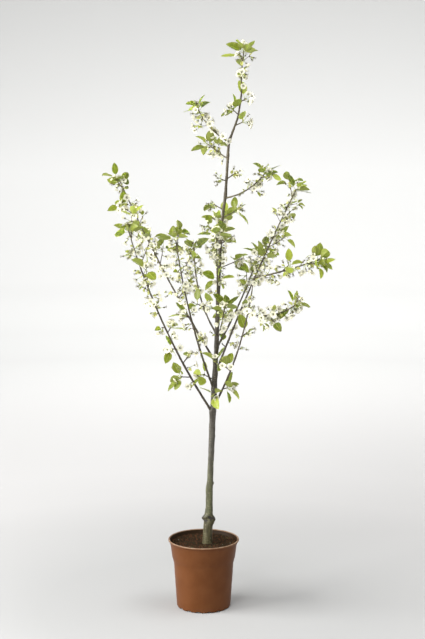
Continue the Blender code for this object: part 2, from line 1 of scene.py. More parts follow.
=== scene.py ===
"""Looks for a potted morello cherry tree in spring blossom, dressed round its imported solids.

Metres, +Z up, origin at the centre of the pot's underside. The limbs, twigs, leaves and
blossoms grow by the same named sizes and the same seeded rule as the solids do, and then by a
finer rule that keeps to the same room, so every piece stays where its solid is.
"""

import json
import math
import random
from collections import defaultdict, namedtuple

import bpy
from mathutils import Matrix, Vector, noise

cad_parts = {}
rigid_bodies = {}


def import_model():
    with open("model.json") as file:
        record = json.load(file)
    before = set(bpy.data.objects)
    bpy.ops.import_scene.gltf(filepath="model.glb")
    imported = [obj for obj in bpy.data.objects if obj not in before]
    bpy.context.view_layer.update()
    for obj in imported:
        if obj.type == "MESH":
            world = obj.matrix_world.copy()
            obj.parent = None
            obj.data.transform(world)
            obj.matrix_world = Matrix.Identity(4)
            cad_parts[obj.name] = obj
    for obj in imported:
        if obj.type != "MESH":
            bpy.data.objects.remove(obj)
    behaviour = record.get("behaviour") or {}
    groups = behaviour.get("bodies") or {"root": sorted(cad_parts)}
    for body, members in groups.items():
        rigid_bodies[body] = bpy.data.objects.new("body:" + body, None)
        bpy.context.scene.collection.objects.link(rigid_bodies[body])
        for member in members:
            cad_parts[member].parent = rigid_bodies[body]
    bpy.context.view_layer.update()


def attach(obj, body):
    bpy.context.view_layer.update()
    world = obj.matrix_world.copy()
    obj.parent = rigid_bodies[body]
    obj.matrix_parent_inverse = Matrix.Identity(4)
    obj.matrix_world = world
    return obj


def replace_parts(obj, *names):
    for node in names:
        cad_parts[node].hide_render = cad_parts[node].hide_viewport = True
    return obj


CLEAR = 0.0003
UP = Vector((0, 0, 1))

# Camera: the photograph's viewpoint
IMAGE_HEIGHT = 639
FOCAL_PIXELS = 1665.07
SENSOR = 36
CAMERA_PLACE = (0.0274, -5.0, 1.7073)
CAMERA_TILT = 9.13

# Pot
POT_HEIGHT = 0.215
RIM_RADIUS = 0.110
RIM_WIDTH = 0.0055
RIM_ROUND = 0.0015
RIM_HEIGHT = 0.0065
FLARE_HEIGHT = 0.0125
COLLAR_TOP_RADIUS = 0.1026
COLLAR_FOOT_RADIUS = 0.0970
COLLAR_FOOT_HEIGHT = 0.156
BODY_TOP_RADIUS = 0.0924
BODY_TOP_HEIGHT = 0.138
BASE_RADIUS = 0.0838
WALL = 0.0016
FLOOR_RECESS = 0.004
FOOT_RING_WIDTH = 0.011
PAD_RADIUS = 0.030
POT_STEPS = 32
NOTCH_COUNT = 16
NOTCH_WIDTH = 0.010
NOTCH_HEIGHT = 0.0028

# Soil
SOIL_LEVEL = 0.198

# Trunk, from its flat cut at the soil to its tip: height, offset right, offset back, diameter
TRUNK = (
    (SOIL_LEVEL + CLEAR, 0.012, 0.000, 0.0340),
    (0.214, 0.012, 0.000, 0.0300),
    (0.252, 0.013, 0.000, 0.0285),
    (0.276, 0.015, 0.000, 0.0350),
    (0.303, 0.017, 0.000, 0.0240),
    (0.330, 0.017, 0.000, 0.0216),
    (0.372, 0.018, 0.000, 0.0212),
    (0.400, 0.020, 0.000, 0.0188),
    (0.470, 0.023, 0.001, 0.0182),
    (0.590, 0.027, 0.003, 0.0196),
    (0.645, 0.031, 0.003, 0.0186),
    (0.745, 0.035, 0.002, 0.0150),
    (0.810, 0.039, 0.000, 0.0130),
    (1.070, 0.048, -0.006, 0.0106),
    (1.195, 0.055, -0.006, 0.0096),
    (1.290, 0.067, -0.004, 0.0087),
    (1.440, 0.076, 0.000, 0.0075),
    (1.515, 0.104, 0.004, 0.0062),
    (1.585, 0.114, 0.006, 0.0052),
)
TRUNK_STEP = 0.065
TRUNK_BEVEL = 4

# Graft union, where two lumps swell the trunk: height, offset right, half width, half height
GRAFT_LUMPS = ((0.277, 0.0262, 0.0112, 0.0165), (0.279, 0.0022, 0.0090, 0.0120))

# Limbs. Along is a height on the trunk, or a share of the parent limb's length. Azimuth runs
# from 0 at the right by 90 at the back; leave and arrive are degrees from upright at the limb's
# foot and tip, and it turns evenly between them. Bare is the share of its length that is bough,
# spray the length of the mass's longest side twig, seed the seed of the mass's growth.
Limb = namedtuple("Limb", "name parent along azimuth leave arrive length thick bare spray seed")
LIMBS = (
    Limb("left_low", "trunk", 0.612, 205, 34, 17, 0.640, 0.0082, 0.56, 0.105, 80),
    Limb("left_high", "trunk", 0.772, 155, 35, 27, 0.630, 0.0076, 0.46, 0.075, 28),
    Limb("left_inner", "trunk", 0.684, 228, 28, 11, 0.513, 0.0075, 0.62, 0.070, 44),
    Limb("left_twig", "trunk", 0.858, 126, 52, -2, 0.290, 0.0065, 0.55, 0.040, 108),
    Limb("right_low", "trunk", 0.632, 315, 35, 9, 0.458, 0.0076, 1.00, 0, 0),
    Limb("right_mid", "trunk", 0.729, 30, 24, 31, 0.630, 0.0076, 0.50, 0.065, 30),
    Limb("right_back", "trunk", 0.814, 55, 49, 33, 0.362, 0.0070, 0.58, 0.055, 47),
    Limb("right_twig", "trunk", 0.832, 290, 38, 24, 0.140, 0.0050, 0.45, 0, 3),
    Limb("front", "trunk", 0.960, 268, 48, 15, 0.260, 0.0065, 0.50, 0.050, 64),
    Limb("back", "trunk", 0.900, 88, 45, 12, 0.340, 0.0070, 0.55, 0.060, 8),
    Limb("upper_right", "trunk", 1.274, 330, 80, 38, 0.165, 0.0050, 0.35, 0.040, 90),
    Limb("upper_left", "trunk", 1.442, 208, 65, 27, 0.150, 0.0050, 0.35, 0.040, 79),
    Limb("upper_left_low", "trunk", 1.392, 140, 66, 60, 0.090, 0.0042, 0, 0.030, 87),
    Limb("right_spread", "right_low", 0.985, 352, 77, 69, 0.200, 0.0058, 0, 0.045, 84),
    Limb("right_spray", "right_low", 0.74, 335, 100, 52, 0.165, 0.0048, 0, 0.035, 12),
    Limb("leader_top", "trunk", 1.585, 0, -3, 9, 0.125, 0.0050, 0, 0.032, 96),
)
LIMB_TIP = 0.0032
LIMB_TAPER = 0.7
LIMB_STEP = 0.042
LIMB_BEVEL = 1
LONG_STEM = 0.08

# Spurs: short stems on the side of the trunk or of a bough, each with its own mass. Lean is
# in degrees from upright.
Spur = namedtuple("Spur", "parent along azimuth lean length leaves blossoms seed")
SPURS = (
    Spur("trunk", 0.668, 262, 70, 0.022, 3, 0, 94),
    Spur("trunk", 0.716, 190, 62, 0.040, 4, 1, 57),
    Spur("trunk", 0.768, 275, 66, 0.022, 4, 2, 17),
    Spur("trunk", 0.930, 190, 60, 0.020, 1, 4, 46),
    Spur("trunk", 1.026, 264, 72, 0.020, 4, 3, 22),
    Spur("trunk", 1.061, 350, 66, 0.055, 4, 5, 94),
    Spur("trunk", 1.134, 20, 55, 0.024, 2, 4, 113),
    Spur("trunk", 1.166, 186, 60, 0.045, 2, 6, 17),
    Spur("trunk", 1.214, 344, 62, 0.050, 5, 4, 102),
    Spur("trunk", 1.238, 160, 62, 0.035, 2, 5, 67),
    Spur("trunk", 1.325, 196, 70, 0.018, 0, 4, 5),
    Spur("trunk", 1.330, 8, 55, 0.024, 0, 5, 53),
    Spur("trunk", 1.490, 350, 66, 0.026, 1, 3, 20),
    Spur("trunk", 1.522, 184, 48, 0.022, 3, 2, 53),
    Spur("trunk", 1.560, 20, 62, 0.018, 1, 3, 24),
    Spur("left_low", 0.22, 200, 86, 0.032, 5, 0, 34),
    Spur("left_low", 0.30, 20, 40, 0.022, 1, 4, 64),
    Spur("left_low", 0.38, 215, 80, 0.018, 2, 4, 40),
    Spur("left_low", 0.47, 340, 30, 0.020, 2, 3, 82),
    Spur("left_high", 0.24, 200, 40, 0.020, 1, 4, 82),
    Spur("left_high", 0.36, 30, 40, 0.022, 0, 5, 94),
    Spur("left_inner", 0.34, 300, 60, 0.018, 0, 4, 119),
    Spur("left_inner", 0.50, 200, 66, 0.018, 1, 4, 46),
    Spur("left_twig", 0.36, 200, 66, 0.024, 2, 3, 99),
    Spur("right_low", 0.16, 345, 76, 0.016, 4, 1, 95),
    Spur("right_low", 0.31, 180, 50, 0.018, 2, 2, 80),
    Spur("right_low", 0.58, 20, 60, 0.018, 1, 4, 106),
    Spur("right_mid", 0.15, 190, 50, 0.016, 1, 2, 20),
    Spur("right_mid", 0.35, 350, 66, 0.018, 1, 4, 20),
    Spur("right_back", 0.34, 160, 50, 0.018, 2, 3, 113),
)
SPUR_THICK = 0.0036

# Growth rule of a mass
NODE_STEP = 0.029
NODE_TURN = 144
TWIG_EVERY = 3
TWIG_THICK = 0.0030
TWIG_TIP = 0.0018
TWIG_SHORTEST = 0.7
TWIG_OUT = 0.9
TWIG_UP = 0.2
TWIG_UMBEL_AT = 0.55
ROSETTE_LEAVES = 4
ROSETTE_SPREADS = (38, 82)
LEAF_TURN = 137.5
LEAF_WIDTH = 0.60
LEAF_ROLL = 1.1
LEAF_THICK = 0.0012
BLADE_OUTLINE = ((0.28, 1.0), (0.70, 0.78))
LEAF_LENGTHS = (0.036, 0.049)
BRACT_LENGTHS = (0.016, 0.026)
PETIOLE_SHARE = 0.28
STALK_THICK = 0.0016
PEDICEL_LENGTHS = (0.015, 0.026)
PEDICEL_SCATTER = 0.75
PEDICEL_FORWARD = 0.3
PEDICEL_DROOP = 0.15
BRACT_SCATTER = 0.6
BLOSSOM_WIDTH = 0.025
BLOSSOM_DEPTH = 0.005
ROOT_DEPTH = 0.0008
STAGGER = 0.0018
LIMB_ROOM = 0.0045
MASS_ROOM = 0.0095
HEART_ROOM = 0.0199
SAMPLE_STEP = 0.006

# Finer growth, which the solids leave out: rooms are the least distance between neighbours
FINE_SEED = 1000
BLOSSOM_ROOM = 0.0090
LEAF_ROOM = 0.0150
SMALL_LEAF_ROOM = 0.0055
SMALL_LEAVES = (0.007, 0.017)
SMALL_LEAF_COUNTS = (1, 1, 2, 2)
SMALL_LEAF_SCATTER = 0.9
TIP_LEAVES = 5
FINE_UMBELS = (2, 3, 3, 4)
FINE_DROOP = 0.45
FINE_TWIG_EVERY = 4
FINE_TWIG_LENGTHS = (0.016, 0.030)
FINE_TWIG_THICK = 0.0019
FINE_TWIG_TIP = 0.0013
BOUGH_SPUR_STEP = 0.044
BOUGH_SPUR_START = 0.34
BOUGH_SPUR_LENGTH = 0.007
FOOT_CELL = 0.006

# Leaf shapes: fold at the midrib, droop, twist
LEAF_FORMS = ((0.22, 0.10, 0.05), (0.40, 0.20, -0.10), (0.10, 0.05, 0.12), (0.60, 0.14, 0.0))
LEAF_ROWS = 7
LEAF_COLUMNS = 5
LEAF_SHEET = 0.006
LEAF_VEINS = 7
# Leaf greens: name, lighter and darker tone of its blotches, share of the sprays
LEAF_TINTS = (
    ("leaf_fresh", "#67701e", "#5a6419", 5),
    ("leaf_bright", "#94a038", "#869130", 4),
    ("leaf_deep", "#434b11", "#39400d", 4),
    ("leaf_young", "#b0b257", "#a0a34d", 0),
)

# Blossom stages: name, how far the petals rise, how far they spread, share of the blossoms
BLOSSOM_STAGES = (
    ("wide", 0.22, 1.0, 4),
    ("cupped", 0.50, 0.88, 3),
    ("half_open", 0.85, 0.55, 2),
    ("bud", 0, 0, 1),
    ("fallen", 0, 0, 5),
)
BLADE_RIM = 60
PETAL_COUNT = 5
PETAL_WIDTH = 0.46
PETAL_SHARES = (0, 0.40, 0.80, 1)
STAMEN_COUNT = 12
SEPAL_COUNT = 5
STALK_BOWS = (0.0012, -0.0010, 0.0004)

# Bark
TRUNK_RING = 0.0011
TRUNK_SIDES = 40
TRUNK_SMOOTHING = 0.010
BOUGH_RING = 0.0018
BOUGH_SIDES = 14
BOUGH_SLIMMER = 0.92
COLLAR_REACH = 0.011
PORE_BIN = 0.005
# Graft union: height, offset right, offset back, reach, lift of each knob of its callus
GRAFT_KNOBS = (
    (0.280, 0.0300, -0.003, 0.0085, 0.0088),
    (0.268, 0.0285, -0.003, 0.0080, 0.0042),
    (0.282, -0.0010, -0.002, 0.0080, 0.0080),
    (0.287, 0.0080, -0.012, 0.0055, 0.0022),
    (0.272, 0.0210, -0.013, 0.0060, 0.0018),
    (0.279, 0.0140, 0.014, 0.0090, 0.0030),
)
# The solid's even swelling at the union, drawn in here so that its knobs stand out
GRAFT_WAIST = (0.277, 0.016, 0.0034)
# Old buds and scars on the trunk: height, degrees round it, reach, lift
TRUNK_KNOTS = (
    (0.392, 10, 0.0045, 0.0032),
    (0.372, 170, 0.0160, 0.0012),
    (0.470, 215, 0.0050, 0.0012),
    (0.540, 330, 0.0050, 0.0015),
    (0.575, 120, 0.0060, 0.0016),
    (0.890, 330, 0.0040, 0.0016),
    (1.290, 250, 0.0040, 0.0014),
)
# Bark tones up the trunk: height where each takes over, half the height it takes, tone
TRUNK_TONES = (
    (0.000, 0.020, "#585335"),
    (0.292, 0.012, "#606242"),
    (0.440, 0.060, "#59564d"),
    (0.620, 0.100, "#4d473d"),
    (1.150, 0.300, "#584e36"),
)
SHOOT_TONES = ((0.000, 0.020, "#52493c"), (1.050, 0.300, "#5d5535"))
SCAR_TONE = "#241e16"
SCAR_HEIGHTS = (0.2700, 0.2920)

# Pot and compost
POT_FINE_STEPS = 320
SLOT_WIDTH = 0.0155
SLOT_HEIGHT = 0.0046
# Height of the dark band round the pot's foot: painted contact shadow and soil splash
FOOT_SHADOW_AND_SOIL = 0.0040
SOIL_STEPS = 120
SOIL_RINGS = 48
# Strewn on the compost: name, finish, two tones, count per square metre, sizes, flatness
STREWS = (
    ("crumbs", "peat_crumb", "#1f170c", "#382713", 90000, 0.0012, 0.0042, 0.9),
    ("bark_chips", "composted_bark_chip", "#3b2212", "#5a371f", 8000, 0.003, 0.0080, 0.35),
    ("grit", "perlite_grain", "#a09c90", "#bdb9ae", 500, 0.0012, 0.0026, 0.9),
    ("moss_tufts", "cushion_moss", "#31361b", "#464e25", 3000, 0.002, 0.0045, 0.5),
)

# Studio: a bowl of paper, soft lights, and air that is brighter on the left
STUDIO_FLOOR = 7.0
STUDIO_COVE = 4.0
STUDIO_HEIGHT = 4.5
# Paper tone at the middle, then where each next tone takes over: by distance, and by height. The
# rings are painted light and shade that set how bright the paper looks under the lamps, and the
# greyer top is painted shade.
PAPER_TONE = "#aeaead"
PAPER_LIGHT_AND_SHADE_RINGS = ((0.5, 1.3, "#bebdbc"), (1.7, 4.3, "#9d9d9c"), (5.2, 7.4, "#acacab"))
PAPER_SHADE_TOP = (0.7, 2.3, "#949493")
AIR_LEFT = 0.46
AIR_RIGHT = 0.17
# Lights: name, place, target, width, height, watts
LAMPS = (
    ("key", (-4.1, -1.1, 2.5), (0, 0, 0.7), 3.8, 2.6, 390),
    ("front", (-1.9, -3.9, 3.0), (0, 0, 1.1), 2.4, 2.4, 145),
    ("top", (2.2, -0.2, 4.8), (0.9, 0.6, 0), 3.2, 3.2, 140),
    ("paper_back", (0.3, 4.3, 5.0), (0.3, 9.6, 1.3), 4.0, 4.0, 840),
    ("paper_left", (-4.3, 0, 5.0), (-9.6, 0, 1.3), 4.0, 4.0, 400),
    ("paper_right", (4.3, 0, 5.0), (9.6, 0, 1.3), 4.0, 4.0, 500),
    ("paper_front", (0, -4.3, 5.0), (0, -9.6, 1.3), 4.0, 4.0, 500),
)

Place = namedtuple("Place", "spot turn size shape")

Shoot = namedtuple("Shoot", "foot azimuth leave arrive length thick thin")
Twig = namedtuple("Twig", "foot tip thick thin borne")
Leaf = namedtuple("Leaf", "foot heading face length")
Blossom = namedtuple("Blossom", "foot heading reach")


# Trunk and limbs


def trunk_point(height):
    """The trunk's centre and radius at this height."""
    height = min(max(height, TRUNK[0][0]), TRUNK[-1][0])
    for low, high in zip(TRUNK, TRUNK[1:]):
        if height <= high[0]:
            break
    share = (height - low[0]) / (high[0] - low[0])
    _, right, back, diameter = (a + (b - a) * share for a, b in zip(low, high))
    return Vector((right, back, height)), diameter / 2


def shoot_point(shoot, distance):
    """A shoot turns evenly from its leaving angle to its arriving one: its centre there."""
    leave = math.radians(shoot.leave)
    turn = math.radians(shoot.arrive - shoot.leave + 0.001) / shoot.length
    angle = leave + turn * distance
    out = (math.cos(leave) - math.cos(angle)) / turn
    rise = (math.sin(angle) - math.sin(leave)) / turn
    azimuth = math.radians(shoot.azimuth)
    return shoot.foot + Vector((out * math.cos(azimuth), out * math.sin(azimuth), rise))


def shoot_heading(shoot, distance):
    angle = math.radians(shoot.leave + (shoot.arrive - shoot.leave) * distance / shoot.length)
    azimuth = math.radians(shoot.azimuth)
    flat = math.sin(angle)
    return Vector((flat * math.cos(azimuth), flat * math.sin(azimuth), math.cos(angle)))


def shoot_radius(shoot, distance):
    return (shoot.thick + (shoot.thin - shoot.thick) * distance / shoot.length) / 2


def foot_on(parent, along, shoots):
    """Where a limb or spur leaves its parent's centre line."""
    if parent == "trunk":
        return trunk_point(along)[0]
    return shoot_point(shoots[parent], shoots[parent].length * along)


def limb_shoots():
    shoots = {}
    for limb in LIMBS:
        foot = foot_on(limb.parent, limb.along, shoots)
        thin = min(LIMB_TIP, limb.thick * LIMB_TAPER)
        shoots[limb.name] = Shoot(
            foot, limb.azimuth, limb.leave, limb.arrive, limb.length, limb.thick, thin
        )
    return shoots


def stretch(shoot, start, end, step):
    """Points and radii along part of a shoot."""
    count = max(2, math.ceil((end - start) / step) + 1)
    stops = [start + (end - start) * i / (count - 1) for i in range(count)]
    return [shoot_point(shoot, s) for s in stops], [shoot_radius(shoot, s) for s in stops]


def trunk_stretch(extra=0.0):
    """Points and radii up the trunk, at its stations and evenly between them."""
    heights = []
    for low, high in zip(TRUNK, TRUNK[1:]):
        count = math.ceil((high[0] - low[0]) / TRUNK_STEP)
        heights += [low[0] + (high[0] - low[0]) * i / count for i in range(count)]
    heights.append(TRUNK[-1][0])
    centres = [trunk_point(height) for height in heights]
    return [centre for centre, _ in centres], [radius + extra for _, radius in centres]


# Space kept between masses


class Room:
    """The space that limbs and masses have taken, as points in a grid of cells."""

    CELL = 0.02

    def __init__(self):
        self.cells = defaultdict(list)

    def take(self, points, owner, reach):
        for point in points:
            cell = tuple(math.floor(c / self.CELL) for c in point)
            self.cells[cell].append((point, owner, reach))

    def is_free(self, points, owner):
        """Whether no point is within reach of what another owner has taken."""
        for point in points:
            x, y, z = (math.floor(c / self.CELL) for c in point)
            near = (
                taken
                for i in (x - 1, x, x + 1)
                for j in (y - 1, y, y + 1)
                for k in (z - 1, z, z + 1)
                for taken in self.cells.get((i, j, k), ())
            )
            for other, holder, reach in near:
                if holder != owner and (other - point).length < reach:
                    return False
        return True


def between(foot, tip, step):
    count = max(1, math.ceil((tip - foot).length / step))
    return [foot.lerp(tip, i / count) for i in range(count + 1)]


def blade_frame(leaf):
    """The leaf blade's foot, tip and sideways direction."""
    foot = leaf.foot + leaf.heading * leaf.length * PETIOLE_SHARE
    tip = foot + leaf.heading * leaf.length
    return foot, tip, leaf.heading.cross(leaf.face).normalized()


def samples(part):
    """Points over a twig, leaf or blossom that show whether it has room."""
    if isinstance(part, Twig):
        return between(part.foot.lerp(part.tip, 0.15), part.tip, SAMPLE_STEP)
    if isinstance(part, Leaf):
        foot, tip, side = blade_frame(part)
        half = side * part.length * LEAF_WIDTH / 2
        edges = [foot.lerp(tip, share) + half * way for share in (0.3, 0.7) for way in (-1, 1)]
        return between(foot, tip, SAMPLE_STEP * 2) + edges
    tip = part.foot + part.heading * part.reach
    side = part.heading.orthogonal().normalized() * BLOSSOM_WIDTH / 2
    across = part.heading.cross(side)
    rim = [tip + part.heading * BLOSSOM_DEPTH + way for way in (side, -side, across, -across)]
    return between(part.foot.lerp(tip, 0.5), tip, SAMPLE_STEP) + rim


# Growth of a mass


def scatter(rng):
    return Vector([rng.uniform(-1, 1) for _ in range(3)])


def around(heading, degrees):
    """The direction square to a heading, this far round it."""
    side = heading.cross(UP)
    side = side.normalized() if side.length > 0.05 else Vector((1, 0, 0))
    return Matrix.Rotation(math.radians(degrees), 3, heading) @ side


def face_of(heading, rng):
    """A leaf's upper side looks up, turned a little about its midrib."""
    level = heading.cross(UP)
    level = level.normalized() if level.length > 0.2 else heading.orthogonal().normalized()
    return Matrix.Rotation(rng.uniform(-LEAF_ROLL, LEAF_ROLL), 3, heading) @ level.cross(heading)


def leaf_at(foot, heading, lengths, rng):
    heading = heading.normalized()
    return Leaf(foot, heading, face_of(heading, rng), rng.uniform(*lengths))


def umbel(foot, outward, heading, blossoms, leaves, rng):
    """A cluster of blossoms on long stalks, with small leaves at its foot."""
    for index in range(blossoms):
        aim = outward + heading * PEDICEL_FORWARD
        aim += scatter(rng) * PEDICEL_SCATTER - UP * PEDICEL_DROOP
        root = foot - heading * STAGGER * (index + 0.5) + aim.normalized() * STAGGER / 2
        yield Blossom(root, aim.normalized(), rng.uniform(*PEDICEL_LENGTHS))
    for index in range(leaves):
        root = foot + heading * STAGGER * (index + 1)
        aim = outward + heading + scatter(rng) * BRACT_SCATTER
        yield leaf_at(root, aim, BRACT_LENGTHS, rng)


def rosette(foot, heading, leaves, rng):
    """Leaves round the tip of a stem, each a step of LEAF_TURN on from the last."""
    first = rng.uniform(0, 360)
    for index in range(leaves):
        spread = math.radians(rng.uniform(*ROSETTE_SPREADS))
        outward = around(heading, first + LEAF_TURN * index)
        aim = heading * math.cos(spread) + outward * math.sin(spread)
        root = foot - heading * STAGGER * (index + 0.5) + outward * STAGGER / 2
        yield leaf_at(root, aim, LEAF_LENGTHS, rng)


def grow_limb(shoot, start, spray, rng):
    """What the leafy end of a limb bears, from start to its tip."""
    count = max(2, round((shoot.length - start) / NODE_STEP))
    first = rng.uniform(0, 360)
    tip = shoot_point(shoot, shoot.length)
    heading = shoot_heading(shoot, shoot.length)
    yield from rosette(tip, heading, ROSETTE_LEAVES, rng)
    yield from umbel(tip - heading * STAGGER * 5, heading, heading, 3, 0, rng)
    for node in range(count - 1, 0, -1):
        distance = start + (shoot.length - start) * node / count
        foot = shoot_point(shoot, distance)
        heading = shoot_heading(shoot, distance)
        outward = around(heading, first + NODE_TURN * node)
        if spray and (count - node) % TWIG_EVERY == 1:
            way = (heading + outward * TWIG_OUT + UP * TWIG_UP).normalized()
            tip = foot + way * spray * rng.uniform(TWIG_SHORTEST, 1)
            borne = [
                *rosette(tip, way, ROSETTE_LEAVES - 1, rng),
                *umbel(tip - way * STAGGER * 4, way, way, 2, 0, rng),
                *umbel(foot.lerp(tip, TWIG_UMBEL_AT), around(way, first), way, 2, 0, rng),
            ]
            yield Twig(foot, tip, TWIG_THICK, TWIG_TIP, borne)
        else:
            blossoms = rng.choice((2, 3, 3))
            yield from umbel(foot, outward, heading, blossoms, rng.choice((0, 1)), rng)


def grow_spur(shoot, spur, rng):
    """What a short spur bears at its tip."""
    tip = shoot_point(shoot, shoot.length)
    heading = shoot_heading(shoot, shoot.length)
    yield from rosette(tip, heading, spur.leaves, rng)
    yield from umbel(tip, heading, heading, spur.blossoms, 0, rng)


def grow(shoot, start, plan):
    """Every twig, leaf and blossom of a mass, before any is skipped for want of room."""
    rng = random.Random(plan.seed)
    if isinstance(plan, Limb):
        return list(grow_limb(shoot, start, plan.spray, rng))
    return list(grow_spur(shoot, plan, rng))


def heart(part):
    """The middle of a leaf's blade or of a blossom. Twigs have none."""
    if isinstance(part, Leaf):
        foot, tip, _ = blade_frame(part)
        return foot.lerp(tip, 0.4)
    return part.foot + part.heading * part.reach


def with_room(parts, owner, room, hearts, spacing=HEART_ROOM):
    """The parts that keep to the mass's own space and aren't crowded in it.

    A skipped twig bears nothing.
    """
    kept = []
    for part in parts:
        if not room.is_free(samples(part), owner):
            continue
        if isinstance(part, Twig):
            kept += [part, *with_room(part.borne, owner, room, hearts, spacing)]
        elif all((heart(part) - other).length > spacing for other in hearts):
            hearts.append(heart(part))
            kept.append(part)
        else:
            continue
        room.take(samples(part), owner, MASS_ROOM)
    return kept


def mass_stems(shoots):
    """Each mass's name, stem, the distance where it starts, and the limb to cut it clear of."""
    stems = []
    for limb in LIMBS:
        if limb.bare < 1:
            start = shoots[limb.name].length * limb.bare
            start += CLEAR if limb.bare else 0
            below = limb.name if limb.bare else limb.parent
            stems.append((limb.name + "_mass", shoots[limb.name], start, below, limb))
    numbers = defaultdict(int)
    for spur in SPURS:
        numbers[spur.parent] += 1
        foot = foot_on(spur.parent, spur.along, shoots)
        shoot = Shoot(
            foot, spur.azimuth, spur.lean, spur.lean, spur.length, SPUR_THICK, TWIG_THICK
        )
        name = f"{spur.parent}_spur_{numbers[spur.parent]}_mass"
        stems.append((name, shoot, 0, spur.parent, spur))
    return stems


def claim_limbs(shoots, stems, room):
    """The trunk, boughs and stems take their space before any leaf or blossom does."""
    points, radii = trunk_stretch()
    for foot, radius, tip in zip(points, radii, points[1:]):
        room.take(between(foot, tip, SAMPLE_STEP), "trunk", radius + LIMB_ROOM)
    for limb in LIMBS:
        if limb.bare:
            shoot = shoots[limb.name]
            points, radii = stretch(shoot, 0, shoot.length * limb.bare, SAMPLE_STEP)
            for point, radius in zip(points, radii):
                room.take([point], limb.name, radius + LIMB_ROOM)
    for name, shoot, start, _, _ in stems:
        points, radii = stretch(shoot, start, shoot.length, SAMPLE_STEP)
        for point, radius in zip(points, radii):
            room.take([point], name, radius + LIMB_ROOM)


# Finer growth


def feet_of(parts):
    """One part for each place where stalks come together."""
    feet = {}
    for part in parts:
        feet.setdefault(tuple(round(c / FOOT_CELL) for c in part.foot), part)
    return list(feet.values())


def drooping(outward):
    return (outward - UP * FINE_DROOP).normalized()


def fine_twig(foot, outward, heading, rng):
    """A thin side twig with small leaves at its tip and a blossom or two."""
    way = (heading + outward * 1.2).normalized()
    tip = foot + way * rng.uniform(*FINE_TWIG_LENGTHS)
    borne = [leaf_at(tip, way + scatter(rng) * 0.8, BRACT_LENGTHS, rng) for _ in range(3)]
    borne += umbel(tip, drooping(way), way, 2, 0, rng)
    return Twig(foot, tip, FINE_TWIG_THICK, FINE_TWIG_TIP, borne)


def finer_parts(shoot, start, plan, kept, rng):
    """Twigs and blossoms between those of the solids, on the same stems and twigs."""
    tip = shoot_point(shoot, shoot.length)
    heading = shoot_heading(shoot, shoot.length)
    if isinstance(plan, Spur):
        return list(umbel(tip, drooping(heading), heading, plan.blossoms + 1, 1, rng))
    parts = list(umbel(tip, heading, heading, 3, 1, rng))
    count = max(2, round((shoot.length - start) / NODE_STEP)) * 2
    first = rng.uniform(0, 360)
    for node in range(1, count):
        distance = start + (shoot.length - start) * node / count
        foot = shoot_point(shoot, distance)
        heading = shoot_heading(shoot, distance)
        outward = around(heading, first + NODE_TURN * node)
        if node % FINE_TWIG_EVERY == 2:
            parts.append(fine_twig(foot, outward, heading, rng))
        else:
            blossoms = rng.choice(FINE_UMBELS)
            parts += umbel(foot, drooping(outward), heading, blossoms, 0, rng)
    for twig in kept:
        if isinstance(twig, Twig):
            way = (twig.tip - twig.foot).normalized()
            for share in (0.3, 0.75):
                outward = drooping(around(way, rng.uniform(0, 360)))
                parts += umbel(twig.foot.lerp(twig.tip, share), outward, way, 2, 0, rng)
    return parts


def tip_leaves(shoot, plan, rng):
    """More leaves at a mass's tip than its solid has room for."""
    count = TIP_LEAVES if isinstance(plan, Limb) else round(plan.leaves / 2)
    tip = shoot_point(shoot, shoot.length)
    return list(rosette(tip, shoot_heading(shoot, shoot.length), count, rng))


def small_leaves(parts, rng):
    """The little leaves that open round the foot of each umbel."""
    leaves = []
    for part in feet_of(parts):
        for _ in range(rng.choice(SMALL_LEAF_COUNTS)):
            aim = part.heading + scatter(rng) * SMALL_LEAF_SCATTER
            leaves.append(leaf_at(part.foot, aim, SMALL_LEAVES, rng))
    return leaves


def bough_spurs(limb, shoot, rng):
    """Little spurs along a bare bough, each with a few blossoms and now and then a leaf."""
    end = shoot.length * limb.bare
    distance = end * BOUGH_SPUR_START
    turn = rng.uniform(0, 360)
    while distance < end - BOUGH_SPUR_STEP / 4:
        foot = shoot_point(shoot, distance)
        heading = shoot_heading(shoot, distance)
        outward = (around(heading, turn) + heading * 0.5).normalized()
        tip = foot + outward * (shoot_radius(shoot, distance) + BOUGH_SPUR_LENGTH)
        blossoms = rng.choice(FINE_UMBELS)
        borne = umbel(tip, drooping(outward), outward, blossoms, rng.choice((0, 1)), rng)
        yield Twig(foot, tip, FINE_TWIG_THICK, FINE_TWIG_TIP, list(borne))
        distance += BOUGH_SPUR_STEP * rng.uniform(0.6, 1.4)
        turn += NODE_TURN


def whole_growth(shoots):
    """Everything that the tree bears: what the solids show and then the finer growth."""
    stems = mass_stems(shoots)
    room = Room()
    claim_limbs(shoots, stems, room)
    borne = []
    hearts = {}
    for name, shoot, start, _, plan in stems:
        hearts[name] = []
        borne.append(with_room(grow(shoot, start, plan), name, room, hearts[name]))
    parts = [part for kept in borne for part in kept]
    for kept, (name, shoot, start, _, plan) in zip(borne, stems):
        rng = random.Random(FINE_SEED + plan.seed)
        spots = hearts[name]
        kept += with_room(tip_leaves(shoot, plan, rng), name, room, spots, LEAF_ROOM)
        finer = finer_parts(shoot, start, plan, kept, rng)
        kept += with_room(finer, name, room, spots, BLOSSOM_ROOM)
        blossoms = [part for part in kept if isinstance(part, Blossom)]
        kept += with_room(small_leaves(blossoms, rng), name, room, [], SMALL_LEAF_ROOM)
    for index, limb in enumerate(LIMBS):
        if limb.bare:
            rng = random.Random(FINE_SEED + 50 + index)
            for spur in bough_spurs(limb, shoots[limb.name], rng):
                kept = with_room(spur.borne, limb.name, room, [], BLOSSOM_ROOM)
                if kept:
                    leaves = small_leaves(kept, rng)
                    kept += with_room(leaves, limb.name, room, [], SMALL_LEAF_ROOM)
                    borne.append([spur, *kept])
    return stems, [part for kept in borne for part in kept]


# Meshes


